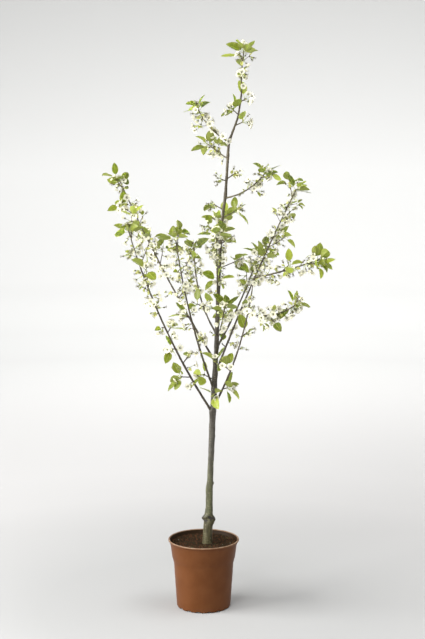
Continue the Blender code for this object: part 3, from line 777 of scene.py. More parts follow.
class Shell:
    """Vertices and faces gathered for one mesh. Each vertex may carry a mark for its finish."""

    def __init__(self):
        self.verts = []
        self.faces = []
        self.marks = []

    def vert(self, point, mark=(0, 0, 0)):
        self.verts.append(tuple(point))
        self.marks.append(mark)
        return len(self.verts) - 1

    def bands(self, rings):
        """Quads between rings of vertex numbers that run round the same way."""
        for low, high in zip(rings, rings[1:]):
            for i in range(len(low)):
                j = (i + 1) % len(low)
                self.faces.append((low[i], low[j], high[j], high[i]))

    def fan(self, tip, ring):
        for i, vert in enumerate(ring):
            self.faces.append((tip, vert, ring[(i + 1) % len(ring)]))

    def made(self, name, smooth=True, sharp_above=None):
        mesh = bpy.data.meshes.new(name)
        mesh.from_pydata(self.verts, [], self.faces)
        mesh.polygons.foreach_set("use_smooth", [smooth] * len(mesh.polygons))
        if any(any(mark) for mark in self.marks):
            layer = mesh.attributes.new("mark", "FLOAT_VECTOR", "POINT")
            layer.data.foreach_set("vector", [c for mark in self.marks for c in mark])
        if sharp_above:
            mesh.set_sharp_from_angle(angle=math.radians(sharp_above))
        obj = bpy.data.objects.new(name, mesh)
        bpy.context.scene.collection.objects.link(obj)
        return obj


def sweep(shell, points, radii, sides, relief=None):
    """A closed round limb along the points. Relief, if any, gives what a place adds to it."""
    side = None
    rings = []
    last = len(points) - 1
    for index, (point, radius) in enumerate(zip(points, radii)):
        heading = (points[min(index + 1, last)] - points[max(index - 1, 0)]).normalized()
        side = side or heading.orthogonal()
        side = (side - heading * side.dot(heading)).normalized()
        across = heading.cross(side)
        ring = []
        for step in range(sides):
            angle = math.tau * step / sides
            normal = side * math.cos(angle) + across * math.sin(angle)
            lift = relief(point + normal * radius, angle, radius) if relief else 0
            ring.append(shell.vert(point + normal * (radius + lift)))
        rings.append(ring)
    shell.bands(rings)
    shell.faces.append(tuple(reversed(rings[0])))
    shell.faces.append(tuple(rings[-1]))


def upright(levels):
    return [Vector((0, 0, level)) for level in levels]


def blade(shell, shares, columns, surface):
    """A thin closed blade. Surface gives the place at a share of its length, a signed share
    of its width, and 0 for its upper side or 1 for its lower one."""
    foot = shell.vert(surface(shares[0], 0, 0), (0, shares[0], 0))
    tip = shell.vert(surface(shares[-1], 0, 0), (0, shares[-1], 0))
    across = [2 * column / (columns - 1) - 1 for column in range(columns)]
    loops = []
    for share in shares[1:-1]:
        upper = [shell.vert(surface(share, a, 0), (a, share, 0)) for a in across]
        lower = [shell.vert(surface(share, a, 1), (a, share, 1)) for a in across[-2:0:-1]]
        loops.append(upper + lower)
    shell.bands(loops)
    shell.fan(foot, loops[0][::-1])
    shell.fan(tip, loops[-1])


def leaf_outline(share):
    """Half width of a cherry leaf: a full oval with a short drawn-out tip."""
    return LEAF_WIDTH / 2 * math.sin(math.pi * share**0.85) ** 0.6 * (1 - 0.25 * share**4)


def leaf_shape(name, fold, droop, twist):
    """A cherry leaf of unit blade length along +Y: folded at its midrib and drooping."""
    shell = Shell()
    stalk = [Vector((0, PETIOLE_SHARE * step, sag)) for step, sag in ((0, 0), (0.5, -0.01), (1, 0))]
    sweep(shell, stalk, (0.020, 0.014, 0.012), 3)

    def surface(share, across, under):
        width = leaf_outline(share) if 0 < share < 1 else 0
        quilt = 0.04 * math.sin(share * math.pi * 6) * abs(across)
        height = (fold * abs(across) + quilt) * width - droop * share**2
        tilt = twist * share
        return Vector(
            (
                across * width * math.cos(tilt),
                PETIOLE_SHARE + share * (1 - droop * share * 0.5),
                height + across * width * math.sin(tilt) - under * LEAF_SHEET,
            )
        )

    blade(shell, [i / LEAF_ROWS for i in range(LEAF_ROWS + 1)], LEAF_COLUMNS, surface)
    return shell.made(name, sharp_above=BLADE_RIM)


def ray(turn, flat, sway, height):
    """A point this far out along a turn about Z, and this far to the right of it."""
    right = flat * math.cos(turn) + sway * math.sin(turn)
    return Vector((right, flat * math.sin(turn) - sway * math.cos(turn), height))


def corolla_shape(name, rise, spread, rng):
    """Five round petals of a blossom that opens along +Z, with a unit radius."""
    shell = Shell()
    for index in range(PETAL_COUNT):
        turn = math.tau * index / PETAL_COUNT + rng.uniform(-0.08, 0.08)
        own_rise = rise * rng.uniform(0.8, 1.2)
        own_spread = spread * rng.uniform(0.93, 1.0)

        def surface(share, across, under):
            width = PETAL_WIDTH * math.sin(math.pi * share**1.5) ** 0.6 if 0 < share < 1 else 0
            height = own_rise * share**1.3 + 0.10 * across**2 * share - under * 0.012
            return ray(turn, (0.10 + 0.86 * share) * own_spread, across * width, height)

        blade(shell, PETAL_SHARES, 3, surface)
    return shell.made(name, sharp_above=BLADE_RIM)


def thorn(shell, foot, tip, radius):
    """A closed four-sided spike."""
    way = (tip - foot).normalized()
    side = way.orthogonal().normalized() * radius
    turns = (Matrix.Rotation(math.tau * i / 3, 3, way) @ side for i in range(3))
    ring = [shell.vert(foot + turn) for turn in turns]
    shell.fan(shell.vert(tip), ring)
    shell.faces.append(tuple(reversed(ring)))


def stamens_shape(name, spread, rng):
    """Filaments with an anther on each, and the style among them."""
    shell = Shell()
    for index in range(STAMEN_COUNT):
        turn = math.tau * index / STAMEN_COUNT + rng.uniform(-0.2, 0.2)
        lean = spread * rng.uniform(0.35, 1.0)
        way = Vector((math.cos(turn) * lean, math.sin(turn) * lean, 1)).normalized()
        tip = way * rng.uniform(0.42, 0.60)
        thorn(shell, Vector((way.x * 0.1, way.y * 0.1, 0.02)), tip, 0.020)
        thorn(shell, tip - way * 0.05, tip + way * 0.07, 0.075)
    thorn(shell, Vector((0, 0, 0)), Vector((0.02, 0, 0.5)), 0.035)
    return shell.made(name)


def calyx_shape(name, reflex):
    """The green cup under a blossom, with five pointed sepals that turn back."""
    shell = Shell()
    sweep(shell, upright((-0.42, -0.30, -0.12, 0.03)), (0.06, 0.15, 0.15, 0.17), 6)
    for index in range(SEPAL_COUNT):
        turn = math.tau * (index + 0.5) / SEPAL_COUNT

        def surface(share, across, under):
            width = 0.11 * (1 - share) if 0 < share < 1 else 0
            height = -reflex * share - under * 0.02
            return ray(turn, 0.14 + 0.30 * share, across * width, height)

        blade(shell, (0, 0.3, 1), 3, surface)
    return shell.made(name, sharp_above=BLADE_RIM)


def bud_shape(name):
    """A closed blossom: white, egg-shaped, with overlapping petals."""
    shell = Shell()
    levels = upright((0, 0.12, 0.34, 0.52, 0.60))
    radii = (0.12, 0.27, 0.32, 0.20, 0.05)
    sweep(shell, levels, radii, 10, lambda place, angle, radius: 0.02 * math.sin(5 * angle))
    return shell.made(name)


def speck_shape(name):
    """Nothing but a tiny spike, for a kind that a blossom of this stage doesn't show."""
    shell = Shell()
    thorn(shell, Vector((0, 0, -0.08)), Vector((0, 0, -0.04)), 0.02)
    return shell.made(name)


def stalk_shape(name, bow):
    """A blossom's stalk of unit length along +Z."""
    shell = Shell()
    bends = [(math.sin(math.pi * i / 5), 0.3 * math.sin(math.tau * i / 5), i / 5) for i in range(6)]
    points = [Vector((bow * out, bow * sway, along)) for out, sway, along in bends]
    sweep(shell, points, (0.00080, 0.00065, 0.00060, 0.00060, 0.00070, 0.00095), 5)
    return shell.made(name)


def scale_shape(name, rng):
    """Bud scales at the foot of an umbel: a short lumpy cone along +Z."""
    shell = Shell()
    lump = rng.uniform(0.1, 0.3)

    def relief(place, angle, radius):
        return radius * lump * math.sin(angle * 3 + place.z * 5)

    sweep(shell, upright((-0.4, 0.0, 0.5, 0.9, 1.2)), (0.5, 0.75, 0.7, 0.45, 0.12), 7, relief)
    return shell.made(name)


def crumb_shape(name, rng, flat):
    """A crumb: a ball of few faces pushed out of round."""
    shell = Shell()
    levels = upright((-0.5 * flat, 0.0, 0.5 * flat))
    sweep(shell, levels, (0.32, 0.5, 0.30), 6, lambda place, angle, radius: rng.uniform(-0.1, 0.1))
    return shell.made(name, smooth=False)


# Materials


def linear(code):
    """An sRGB hex colour as linear red, green, blue and full alpha."""
    channels = (int(code[i : i + 2], 16) / 255 for i in (1, 3, 5))
    return (*(c / 12.92 if c <= 0.04045 else ((c + 0.055) / 1.055) ** 2.4 for c in channels), 1)


def add(tree, kind, inputs=(), **settings):
    """Adds a node with its settings, gives its inputs values or links, and returns its outputs
    by name. A number stands for an input that shares its name with others."""
    node = tree.nodes.new(kind)
    for name, value in settings.items():
        setattr(node, name, value)
    usable = [socket for socket in node.inputs if socket.enabled]
    for key, value in dict(inputs).items():
        socket = usable[key] if isinstance(key, int) else next(s for s in usable if s.name == key)
        if isinstance(value, bpy.types.NodeSocket):
            tree.links.new(value, socket)
        else:
            socket.default_value = value
    return {socket.name: socket for socket in reversed(node.outputs) if socket.enabled}


def new_surface(name):
    """A new material, its emptied tree, and its Object coordinates."""
    material = bpy.data.materials.new(name)
    material.use_nodes = True
    material.node_tree.nodes.clear()
    place = add(material.node_tree, "ShaderNodeTexCoord")["Object"]
    return material, material.node_tree, place


def close_surface(tree, colour, roughness, grain=None, strength=0, depth_mm=0, **others):
    """Ends a material in its shader, with a relief from the grain if there is one."""
    inputs = {"Base Color": colour, "Roughness": roughness}
    inputs.update({label.replace("_", " "): value for label, value in others.items()})
    if grain:
        relief = {"Height": grain, "Strength": strength, "Distance": depth_mm / 1000}
        inputs["Normal"] = add(tree, "ShaderNodeBump", relief)["Normal"]
    shader = add(tree, "ShaderNodeBsdfPrincipled", inputs)["BSDF"]
    add(tree, "ShaderNodeOutputMaterial", {"Surface": shader})


def cloud(tree, place, size_mm, low=0.35, high=0.65, detail=3.0, stretch=(1, 1, 1)):
    """A share from 0 to 1 in soft blotches about this many millimetres across."""
    spot = add(tree, "ShaderNodeMapping", {"Vector": place, "Scale": stretch})["Vector"]
    pattern = {"Vector": spot, "Scale": 1000 / size_mm, "Detail": detail}
    value = add(tree, "ShaderNodeTexNoise", pattern)["Fac"]
    span = {"Value": value, "From Min": low, "From Max": high}
    return add(tree, "ShaderNodeMapRange", span)["Result"]


def blotched(tree, place, size_mm, first, second):
    """Two tones in soft blotches."""
    tones = {"Factor": cloud(tree, place, size_mm), "A": linear(first), "B": linear(second)}
    return add(tree, "ShaderNodeMix", tones, data_type="RGBA")["Result"]


def vein_share(tree, across, along):
    """The midrib and slanting side veins of a blade."""
    off = add(tree, "ShaderNodeMath", {0: across}, operation="ABSOLUTE")["Value"]
    slant = {0: off, 1: -0.22, 2: along}
    swept = add(tree, "ShaderNodeMath", slant, operation="MULTIPLY_ADD")["Value"]
    folded = {0: swept, 1: 0.5 / LEAF_VEINS}
    wave = add(tree, "ShaderNodeMath", folded, operation="PINGPONG")["Value"]
    fine = {"Value": wave, "From Min": 0, "From Max": 0.10 / LEAF_VEINS, "To Min": 0.5, "To Max": 0}
    side = add(tree, "ShaderNodeMapRange", fine)["Result"]
    broad = {"Value": off, "From Min": 0.02, "From Max": 0.12, "To Min": 1, "To Max": 0}
    rib = add(tree, "ShaderNodeMapRange", broad)["Result"]
    return add(tree, "ShaderNodeMath", {0: side, 1: rib}, operation="MAXIMUM")["Value"]


def leaf_material(name, upper, shade):
    # Living cherry leaf, grown: a thin waxy skin over soft tissue gives a low satin gloss, a
    # little light comes through, its veins are paler and its underside is matt and pale.
    material, tree, place = new_surface(name)
    mark = add(tree, "ShaderNodeAttribute", attribute_name="mark")["Vector"]
    parts = add(tree, "ShaderNodeSeparateXYZ", {"Vector": mark})
    body = blotched(tree, place, 9, shade, upper)
    veins = vein_share(tree, parts["X"], parts["Y"])
    light = add(tree, "ShaderNodeMath", {0: veins, 1: 0.45}, operation="MULTIPLY")["Value"]
    tones = {"Factor": light, "A": body, "B": linear("#a3a45f")}
    body = add(tree, "ShaderNodeMix", tones, data_type="RGBA")["Result"]
    pale = add(tree, "ShaderNodeMath", {0: parts["Z"], 1: 0.35}, operation="MULTIPLY")["Value"]
    tones = {"Factor": pale, "A": body, "B": linear("#95985f")}
    body = add(tree, "ShaderNodeMix", tones, data_type="RGBA")["Result"]
    close_surface(
        tree,
        body,
        0.42,
        veins,
        0.3,
        0.3,
        Specular_IOR_Level=0.3,
        Subsurface_Weight=0.4,
        Subsurface_Radius=(0.7, 1.0, 0.25),
        Subsurface_Scale=0.003,
    )
    return material


def petal_material():
    # Cherry petal, grown: white, thin and matt, with some light through it, and a green tinge
    # where it narrows to its foot.
    material, tree, place = new_surface("cherry_petal")
    mark = add(tree, "ShaderNodeAttribute", attribute_name="mark")["Vector"]
    along = add(tree, "ShaderNodeSeparateXYZ", {"Vector": mark})["Y"]
    span = {"Value": along, "From Min": 0.05, "From Max": 0.35}
    out = add(tree, "ShaderNodeMapRange", span)["Result"]
    body = blotched(tree, place, 6, "#faf6d4", "#fcf9e4")
    tones = {"Factor": out, "A": linear("#e3e8c2"), "B": body}
    body = add(tree, "ShaderNodeMix", tones, data_type="RGBA")["Result"]
    close_surface(
        tree,
        body,
        0.6,
        cloud(tree, place, 1.2),
        0.1,
        0.2,
        Subsurface_Weight=0.4,
        Subsurface_Radius=(1.0, 1.0, 0.95),
        Subsurface_Scale=0.004,
    )
    return material


def grown_material(name, low, high, roughness, size_mm):
    # Soft green or woody plant tissue, grown: matt, with small blotches of two near tones.
    material, tree, place = new_surface(name)
    body = blotched(tree, place, size_mm, low, high)
    grain = cloud(tree, place, size_mm / 4)
    close_surface(tree, body, roughness, grain, 0.3, 0.4, Specular_IOR_Level=0.2)
    return material


def bark_material(name, tones, scarred):
    # Young cherry bark, grown: satin grey-brown skin with fine cross lines and pale pores, green
    # with algae near the soil, darker higher up, and nearly black in the union's old scar.
    material, tree, place = new_surface(name)
    height = add(tree, "ShaderNodeSeparateXYZ", {"Vector": place})["Z"]
    drift = cloud(tree, place, 60, 0, 1, stretch=(1, 1, 0.4))
    body = linear(tones[0][2])
    for start, half, tone in tones[1:]:
        wander = {0: drift, 1: 2 * half, 2: height}
        value = add(tree, "ShaderNodeMath", wander, operation="MULTIPLY_ADD")["Value"]
        span = {"Value": value, "From Min": start, "From Max": start + 2 * half}
        share = add(tree, "ShaderNodeMapRange", span)["Result"]
        colours = {"Factor": share, "A": body, "B": linear(tone)}
        body = add(tree, "ShaderNodeMix", colours, data_type="RGBA")["Result"]
    streaks = cloud(tree, place, 7, 0.42, 0.62, stretch=(1, 1, 0.12))
    colours = {"Factor": streaks, "A": body, "B": linear("#b9b4aa")}
    shade = {"data_type": "RGBA", "blend_type": "MULTIPLY"}
    body = add(tree, "ShaderNodeMix", colours, **shade)["Result"]
    lines = cloud(tree, place, 5, 0.40, 0.68, stretch=(0.35, 0.35, 3.0))
    colours = {"Factor": lines, "A": body, "B": linear("#c9c4bb")}
    body = add(tree, "ShaderNodeMix", colours, **shade)["Result"]
    pores = cloud(tree, place, 4, 0.68, 0.74, detail=1.0, stretch=(0.5, 0.5, 2.2))
    colours = {"Factor": pores, "A": body, "B": linear("#8e876f")}
    body = add(tree, "ShaderNodeMix", colours, data_type="RGBA")["Result"]
    if scarred:
        low, high = SCAR_HEIGHTS
        share = cloud(tree, place, 12, 0.46, 0.56)
        for near, far in ((low - 0.004, low + 0.004), (high + 0.004, high - 0.004)):
            span = {"Value": height, "From Min": near, "From Max": far}
            within = add(tree, "ShaderNodeMapRange", span)["Result"]
            both = {0: share, 1: within}
            share = add(tree, "ShaderNodeMath", both, operation="MULTIPLY")["Value"]
        colours = {"Factor": share, "A": body, "B": linear(SCAR_TONE)}
        body = add(tree, "ShaderNodeMix", colours, data_type="RGBA")["Result"]
    grain = cloud(tree, place, 2.2, 0, 1, stretch=(0.4, 0.4, 2.5))
    close_surface(tree, body, 0.5, grain, 0.5, 0.6)
    return material


def pot_material():
    # Polypropylene, injection moulded in terracotta brown: satin and evenly coloured, with a fine
    # spark-eroded grain, a painted highlight in patches along the top of the rim, painted shade
    # over its inner wall, and a dark band round its foot that is painted contact shadow and soil
    # splash.
    material, tree, place = new_surface("polypropylene_terracotta")
    height = add(tree, "ShaderNodeSeparateXYZ", {"Vector": place})["Z"]
    body = blotched(tree, place, 45, "#603719", "#673d1f")
    # Painted highlight: a pale tone in patches along the top edge of the rim
    span = {"Value": height, "From Min": POT_HEIGHT - 0.0034, "From Max": POT_HEIGHT - 0.0008}
    edge = add(tree, "ShaderNodeMapRange", span)["Result"]
    rim_highlight_patches = cloud(tree, place, 14, 0.2, 0.6, stretch=(1, 1, 0.2))
    share = add(tree, "ShaderNodeMath", {0: edge, 1: rim_highlight_patches}, operation="MULTIPLY")["Value"]
    tones = {"Factor": share, "A": body, "B": linear("#8f7862")}
    body = add(tree, "ShaderNodeMix", tones, data_type="RGBA")["Result"]
    # Painted shade darkens the inner wall, and a dark band round the foot is painted contact shadow
    # and soil splash
    mark = add(tree, "ShaderNodeAttribute", attribute_name="mark")["Vector"]
    inside = add(tree, "ShaderNodeSeparateXYZ", {"Vector": mark})["X"]
    span = {"Value": height, "From Min": FOOT_SHADOW_AND_SOIL, "From Max": 0, "To Max": 0.85}
    foot_shadow_and_soil = add(tree, "ShaderNodeMapRange", span)["Result"]
    painted_shade_and_soil = add(tree, "ShaderNodeMath", {0: inside, 1: foot_shadow_and_soil}, operation="MAXIMUM")["Value"]
    tones = {"Factor": painted_shade_and_soil, "A": body, "B": linear("#2d1f11")}
    body = add(tree, "ShaderNodeMix", tones, data_type="RGBA")["Result"]
    grain = cloud(tree, place, 0.9, 0, 1)
    close_surface(tree, body, 0.48, grain, 0.18, 0.3, Specular_IOR_Level=0.15)
    return material


def compost_material():
    # Peat and bark compost, sieved and moist: nearly black brown, fully matt, crumbly, with
    # lighter dry fibres and a green film of moss.
    material, tree, place = new_surface("moist_compost")
    fibre = cloud(tree, place, 3, 0.45, 0.75, detail=5.0)
    tones = {"Factor": fibre, "A": linear("#1c150b"), "B": linear("#332412")}
    body = add(tree, "ShaderNodeMix", tones, data_type="RGBA")["Result"]
    tones = {"Factor": cloud(tree, place, 40, 0.52, 0.66), "A": body, "B": linear("#2b2b18")}
    body = add(tree, "ShaderNodeMix", tones, data_type="RGBA")["Result"]
    grain = cloud(tree, place, 2, 0, 1, detail=6.0)
    close_surface(tree, body, 0.95, grain, 0.9, 2, Specular_IOR_Level=0.1)
    return material


def paper_material():
    # Matt studio paper: pale, with no gloss, in soft rings of near greys that are painted light and
    # shade, and greyer up the wall as painted shade.
    material, tree, place = new_surface("studio_paper")
    distance = add(tree, "ShaderNodeVectorMath", {0: place}, operation="LENGTH")["Value"]
    height = add(tree, "ShaderNodeSeparateXYZ", {"Vector": place})["Z"]
    body = linear(PAPER_TONE)
    steps = [(distance, *ring) for ring in PAPER_LIGHT_AND_SHADE_RINGS] + [(height, *PAPER_SHADE_TOP)]
    for measure, low, high, tone in steps:
        span = {"Value": measure, "From Min": low, "From Max": high}
        share = add(tree, "ShaderNodeMapRange", span)["Result"]
        tones = {"Factor": share, "A": body, "B": linear(tone)}
        body = add(tree, "ShaderNodeMix", tones, data_type="RGBA")["Result"]
    close_surface(tree, body, 0.9)
    return material


# Geometry Nodes


def new_tree(name, sockets):
    """A tree with these named inputs, and what its inlet gives."""
    tree = bpy.data.node_groups.new(name, "GeometryNodeTree")
    tree.interface.new_socket("Geometry", in_out="INPUT", socket_type="NodeSocketGeometry")
    for label, kind in sockets:
        tree.interface.new_socket(label, in_out="INPUT", socket_type="NodeSocket" + kind)
    tree.interface.new_socket("Geometry", in_out="OUTPUT", socket_type="NodeSocketGeometry")
    return tree, add(tree, "NodeGroupInput")


def close_tree(tree, dealt_out, finish):
    """Ends a tree in real geometry with its finish set."""
    real = add(tree, "GeometryNodeRealizeInstances", {"Geometry": dealt_out["Instances"]})
    dressed = {"Geometry": real["Geometry"], "Material": finish}
    done = add(tree, "GeometryNodeSetMaterial", dressed)
    add(tree, "NodeGroupOutput", {"Geometry": done["Geometry"]})
    return tree


def dealing_tree():
    """Puts a shape from a collection on each point, by the point's own turn, size and shape."""
    tree, inlet = new_tree("Deal out shapes", (("Shapes", "Collection"), ("Finish", "Material")))
    own = {
        label: add(tree, "GeometryNodeInputNamedAttribute", {"Name": label}, data_type=kind)
        for label, kind in (("turn", "FLOAT_VECTOR"), ("size", "FLOAT_VECTOR"), ("shape", "INT"))
    }
    kit = {"Collection": inlet["Shapes"], "Separate Children": True, "Reset Children": True}
    euler = {"Euler": own["turn"]["Attribute"]}
    deal = {
        "Points": inlet["Geometry"],
        "Instance": add(tree, "GeometryNodeCollectionInfo", kit)["Instances"],
        "Pick Instance": True,
        "Instance Index": own["shape"]["Attribute"],
        "Rotation": add(tree, "FunctionNodeEulerToRotation", euler)["Rotation"],
        "Scale": own["size"]["Attribute"],
    }
    return close_tree(tree, add(tree, "GeometryNodeInstanceOnPoints", deal), inlet["Finish"])


def strewing_tree():
    """Strews grains over a surface, turned and sized at random from a fixed seed."""
    sockets = (
        ("Grains", "Collection"),
        ("Finish", "Material"),
        ("Density", "Float"),
        ("Smallest", "Float"),
        ("Largest", "Float"),
        ("Seed", "Int"),
    )
    tree, inlet = new_tree("Strew grains", sockets)
    spread = {"Mesh": inlet["Geometry"], "Density": inlet["Density"], "Seed": inlet["Seed"]}
    kit = {"Collection": inlet["Grains"], "Separate Children": True, "Reset Children": True}
    turns = {"Min": (0, 0, 0), "Max": (math.tau,) * 3, "Seed": inlet["Seed"]}
    turn = add(tree, "FunctionNodeRandomValue", turns, data_type="FLOAT_VECTOR")
    sizes = {"Min": inlet["Smallest"], "Max": inlet["Largest"], "Seed": inlet["Seed"]}
    strew = {
        "Points": add(tree, "GeometryNodeDistributePointsOnFaces", spread)["Points"],
        "Instance": add(tree, "GeometryNodeCollectionInfo", kit)["Instances"],
        "Pick Instance": True,
        "Rotation": add(tree, "FunctionNodeEulerToRotation", {"Euler": turn["Value"]})["Rotation"],
        "Scale": add(tree, "FunctionNodeRandomValue", sizes, data_type="FLOAT")["Value"],
    }
    return close_tree(tree, add(tree, "GeometryNodeInstanceOnPoints", strew), inlet["Finish"])


def grown_piece(name, carrier, shapes, tree, **values):
    """The plain mesh that a tree makes of its carrier and these shapes, as a new object."""
    kit = bpy.data.collections.new(name + "_shapes")
    for shape in shapes:
        bpy.context.scene.collection.objects.unlink(shape)
        kit.objects.link(shape)
    modifier = carrier.modifiers.new(tree.name, "NODES")
    modifier.node_group = tree
    for socket in tree.interface.items_tree:
        if socket.in_out == "INPUT" and socket.socket_type == "NodeSocketCollection":
            modifier[socket.identifier] = kit
        elif socket.in_out == "INPUT" and socket.name in values:
            modifier[socket.identifier] = values[socket.name]
    bpy.context.view_layer.update()
    graph = bpy.context.evaluated_depsgraph_get()
    mesh = bpy.data.meshes.new_from_object(carrier.evaluated_get(graph))
    mesh.name = name
    carrier.modifiers.clear()
    for shape in list(kit.objects):
        bpy.data.objects.remove(shape, do_unlink=True)
    bpy.data.collections.remove(kit)
    obj = bpy.data.objects.new(name, mesh)
    bpy.context.scene.collection.objects.link(obj)
    return obj


def dealt_piece(name, places, shapes, material, tree):
    """One joined piece of a shape at each of these places."""
    mesh = bpy.data.meshes.new("places")
    mesh.from_pydata([place.spot for place in places], [], [])
    for label in ("turn", "size"):
        layer = mesh.attributes.new(label, "FLOAT_VECTOR", "POINT")
        layer.data.foreach_set("vector", [c for place in places for c in getattr(place, label)])
    layer = mesh.attributes.new("shape", "INT", "POINT")
    layer.data.foreach_set("value", [place.shape for place in places])
    carrier = bpy.data.objects.new("places", mesh)
    bpy.context.scene.collection.objects.link(carrier)
    piece = grown_piece(name, carrier, shapes, tree, Finish=material)
    bpy.data.objects.remove(carrier, do_unlink=True)
    return piece


# Leaves and blossoms


def turn_of(side, heading, face):
    """The Euler turn whose local X, Y and Z lie along these directions."""
    return tuple(Matrix((side, heading, face)).transposed().to_euler())


def turn_along(way, degrees=0):
    """The turn whose local Z lies along a way."""
    side = Matrix.Rotation(math.radians(degrees), 3, way) @ way.orthogonal().normalized()
    return turn_of(side, way.cross(side), way)


def weighted(shares):
    """Each index as often as its share says, to choose from."""
    return [index for index, share in enumerate(shares) for _ in range(share)]


def leaf_pieces(leaves, tree):
    """Leaves dealt out in four plain greens: one to a spray, the last to the smallest leaves."""
    rng = random.Random(FINE_SEED + 7)
    kinds = weighted([tint[3] for tint in LEAF_TINTS])
    sprays = {}
    places = defaultdict(list)
    for leaf in leaves:
        spray = tuple(round(c / 0.03) for c in leaf.foot)
        kind = sprays.setdefault(spray, rng.choice(kinds))
        if leaf.length < SMALL_LEAVES[1]:
            kind = len(LEAF_TINTS) - 1
        side = blade_frame(leaf)[2]
        turn = turn_of(side, leaf.heading, side.cross(leaf.heading))
        form = rng.randrange(len(LEAF_FORMS))
        places[kind].append(Place(tuple(leaf.foot), turn, (leaf.length,) * 3, form))
    pieces = []
    for kind, (name, upper, shade, _) in enumerate(LEAF_TINTS):
        shapes = [leaf_shape(f"{name}_{i}", *form) for i, form in enumerate(LEAF_FORMS)]
        material = leaf_material(name, upper, shade)
        pieces.append(dealt_piece(name, places[kind], shapes, material, tree))
    return pieces


def blossom_shapes(rng):
    """A shape of each kind for each stage of a blossom."""
    shapes = defaultdict(list)
    for index, (stage, rise, spread, _) in enumerate(BLOSSOM_STAGES):
        key = f"_{index}_{stage}"
        opened = spread > 0
        shapes["calyces"].append(calyx_shape("calyces" + key, 0.25))
        if opened:
            shapes["petals"].append(corolla_shape("petals" + key, rise, spread, rng))
        elif stage == "bud":
            shapes["petals"].append(bud_shape("petals" + key))
        else:
            shapes["petals"].append(speck_shape("petals" + key))
        if opened or stage == "fallen":
            shapes["stamens"].append(stamens_shape("stamens" + key, spread or 0.8, rng))
        else:
            shapes["stamens"].append(speck_shape("stamens" + key))
    shapes["stalks"] = [stalk_shape(f"stalks_{i}", bow) for i, bow in enumerate(STALK_BOWS)]
    return shapes


def blossom_pieces(blossoms, tree):
    """Petals, stamens, calyces and stalks of every blossom, each kind joined in one piece."""
    rng = random.Random(FINE_SEED + 1)
    stages = weighted([stage[3] for stage in BLOSSOM_STAGES])
    heads = []
    stalks = []
    for blossom in blossoms:
        turn = turn_along(blossom.heading, rng.uniform(0, 360))
        tip = blossom.foot + blossom.heading * blossom.reach
        size = BLOSSOM_WIDTH / 2 * rng.uniform(0.9, 1.05)
        heads.append(Place(tuple(tip), turn, (size,) * 3, rng.choice(stages)))
        form = rng.randrange(len(STALK_BOWS))
        stalks.append(Place(tuple(blossom.foot), turn, (1, 1, blossom.reach), form))
    shapes = blossom_shapes(rng)
    finishes = {
        "petals": petal_material(),
        "stamens": grown_material("stamen_and_anther", "#646245", "#86815c", 0.7, 1.5),
        "calyces": grown_material("calyx_cup", "#5d6734", "#6b5e38", 0.55, 4),
        "stalks": grown_material("flower_stalk", "#87964f", "#92a25b", 0.5, 8),
    }
    return [
        dealt_piece(kind, stalks if kind == "stalks" else heads, shapes[kind], finish, tree)
        for kind, finish in finishes.items()
    ]


# Bark, twigs, pot and compost


def bump_at(place, centre, reach, lift):
    return lift * math.exp(-((place - centre).length_squared) / reach**2)


def pores_on(rng, low, high, count, radius):
    """Raised pores of the bark, in bins by height: height, angle, half width, half height."""
    bins = defaultdict(list)
    for _ in range(count):
        height = rng.uniform(low, high)
        half_width = rng.uniform(0.0014, 0.0032) / radius
        pore = (height, rng.uniform(0, math.tau), half_width, rng.uniform(0.0006, 0.0011))
        for step in (-1, 0, 1):
            bins[int(height / PORE_BIN) + step].append(pore)
    return bins


def pore_lift(bins, height, angle, lift):
    total = 0
    for centre, turn, half_width, half_height in bins.get(int(height / PORE_BIN), ()):
        round_it = (angle - turn + math.pi) % math.tau - math.pi
        near = (round_it / half_width) ** 2 + ((height - centre) / half_height) ** 2
        if near < 1:
            total += lift * (1 - near)
    return total


def smooth_trunk(height):
    """The trunk's centre and radius with the corners between its stations eased."""
    nearby = [trunk_point(height + step * TRUNK_SMOOTHING) for step in (-1, -0.5, 0, 0.5, 1)]
    centre = sum((point for point, _ in nearby), Vector()) / len(nearby)
    centre.z = height
    return centre, sum(radius for _, radius in nearby) / len(nearby)


def trunk_bumps():
    """Knobs, old buds and the collars of the limbs: centre on the bark, reach, lift."""
    bumps = []
    for height, right, back, reach, lift in GRAFT_KNOBS:
        bumps.append((Vector((right, back, height)), reach, lift))
    on_bark = [*TRUNK_KNOTS]
    for limb in LIMBS:
        if limb.parent == "trunk" and limb.along < TRUNK[-1][0]:
            on_bark.append((limb.along + 0.006, limb.azimuth, COLLAR_REACH, limb.thick * 0.32))
    for height, turn, reach, lift in on_bark:
        centre, radius = smooth_trunk(height)
        angle = math.radians(turn)
        out = Vector((math.cos(angle), math.sin(angle), 0))
        bumps.append((centre + out * radius, reach, lift))
    return bumps


def trunk_piece(material):
    low = TRUNK[0][0]
    high = TRUNK[-1][0]
    count = round((high - low) / TRUNK_RING)
    stations = [smooth_trunk(low + (high - low) * i / count) for i in range(count + 1)]
    pores = pores_on(random.Random(FINE_SEED + 2), low, high, 420, 0.008)
    near = defaultdict(list)
    for bump in trunk_bumps():
        middle = round(bump[0].z / 0.01)
        for cell in range(middle - 4, middle + 5):
            near[cell].append(bump)
    waist, waist_reach, waist_depth = GRAFT_WAIST

    def relief(place, angle, radius):
        lift = 0.0009 * noise.noise(place * 45) * min(1, radius / 0.008)
        lift += 0.00022 * noise.noise(Vector((place.x * 260, place.y * 260, place.z * 620)))
        lift += sum(bump_at(place, *bump) for bump in near.get(round(place.z / 0.01), ()))
        union = math.exp(-(((place.z - waist) / waist_reach) ** 2))
        lift += union * (0.0016 * noise.noise(place * 120) - waist_depth)
        return lift + pore_lift(pores, place.z, angle, 0.00035)

    shell = Shell()
    sweep(shell, *zip(*stations), TRUNK_SIDES, relief)
    piece = shell.made("trunk_bark")
    piece.data.materials.append(material)
    return piece


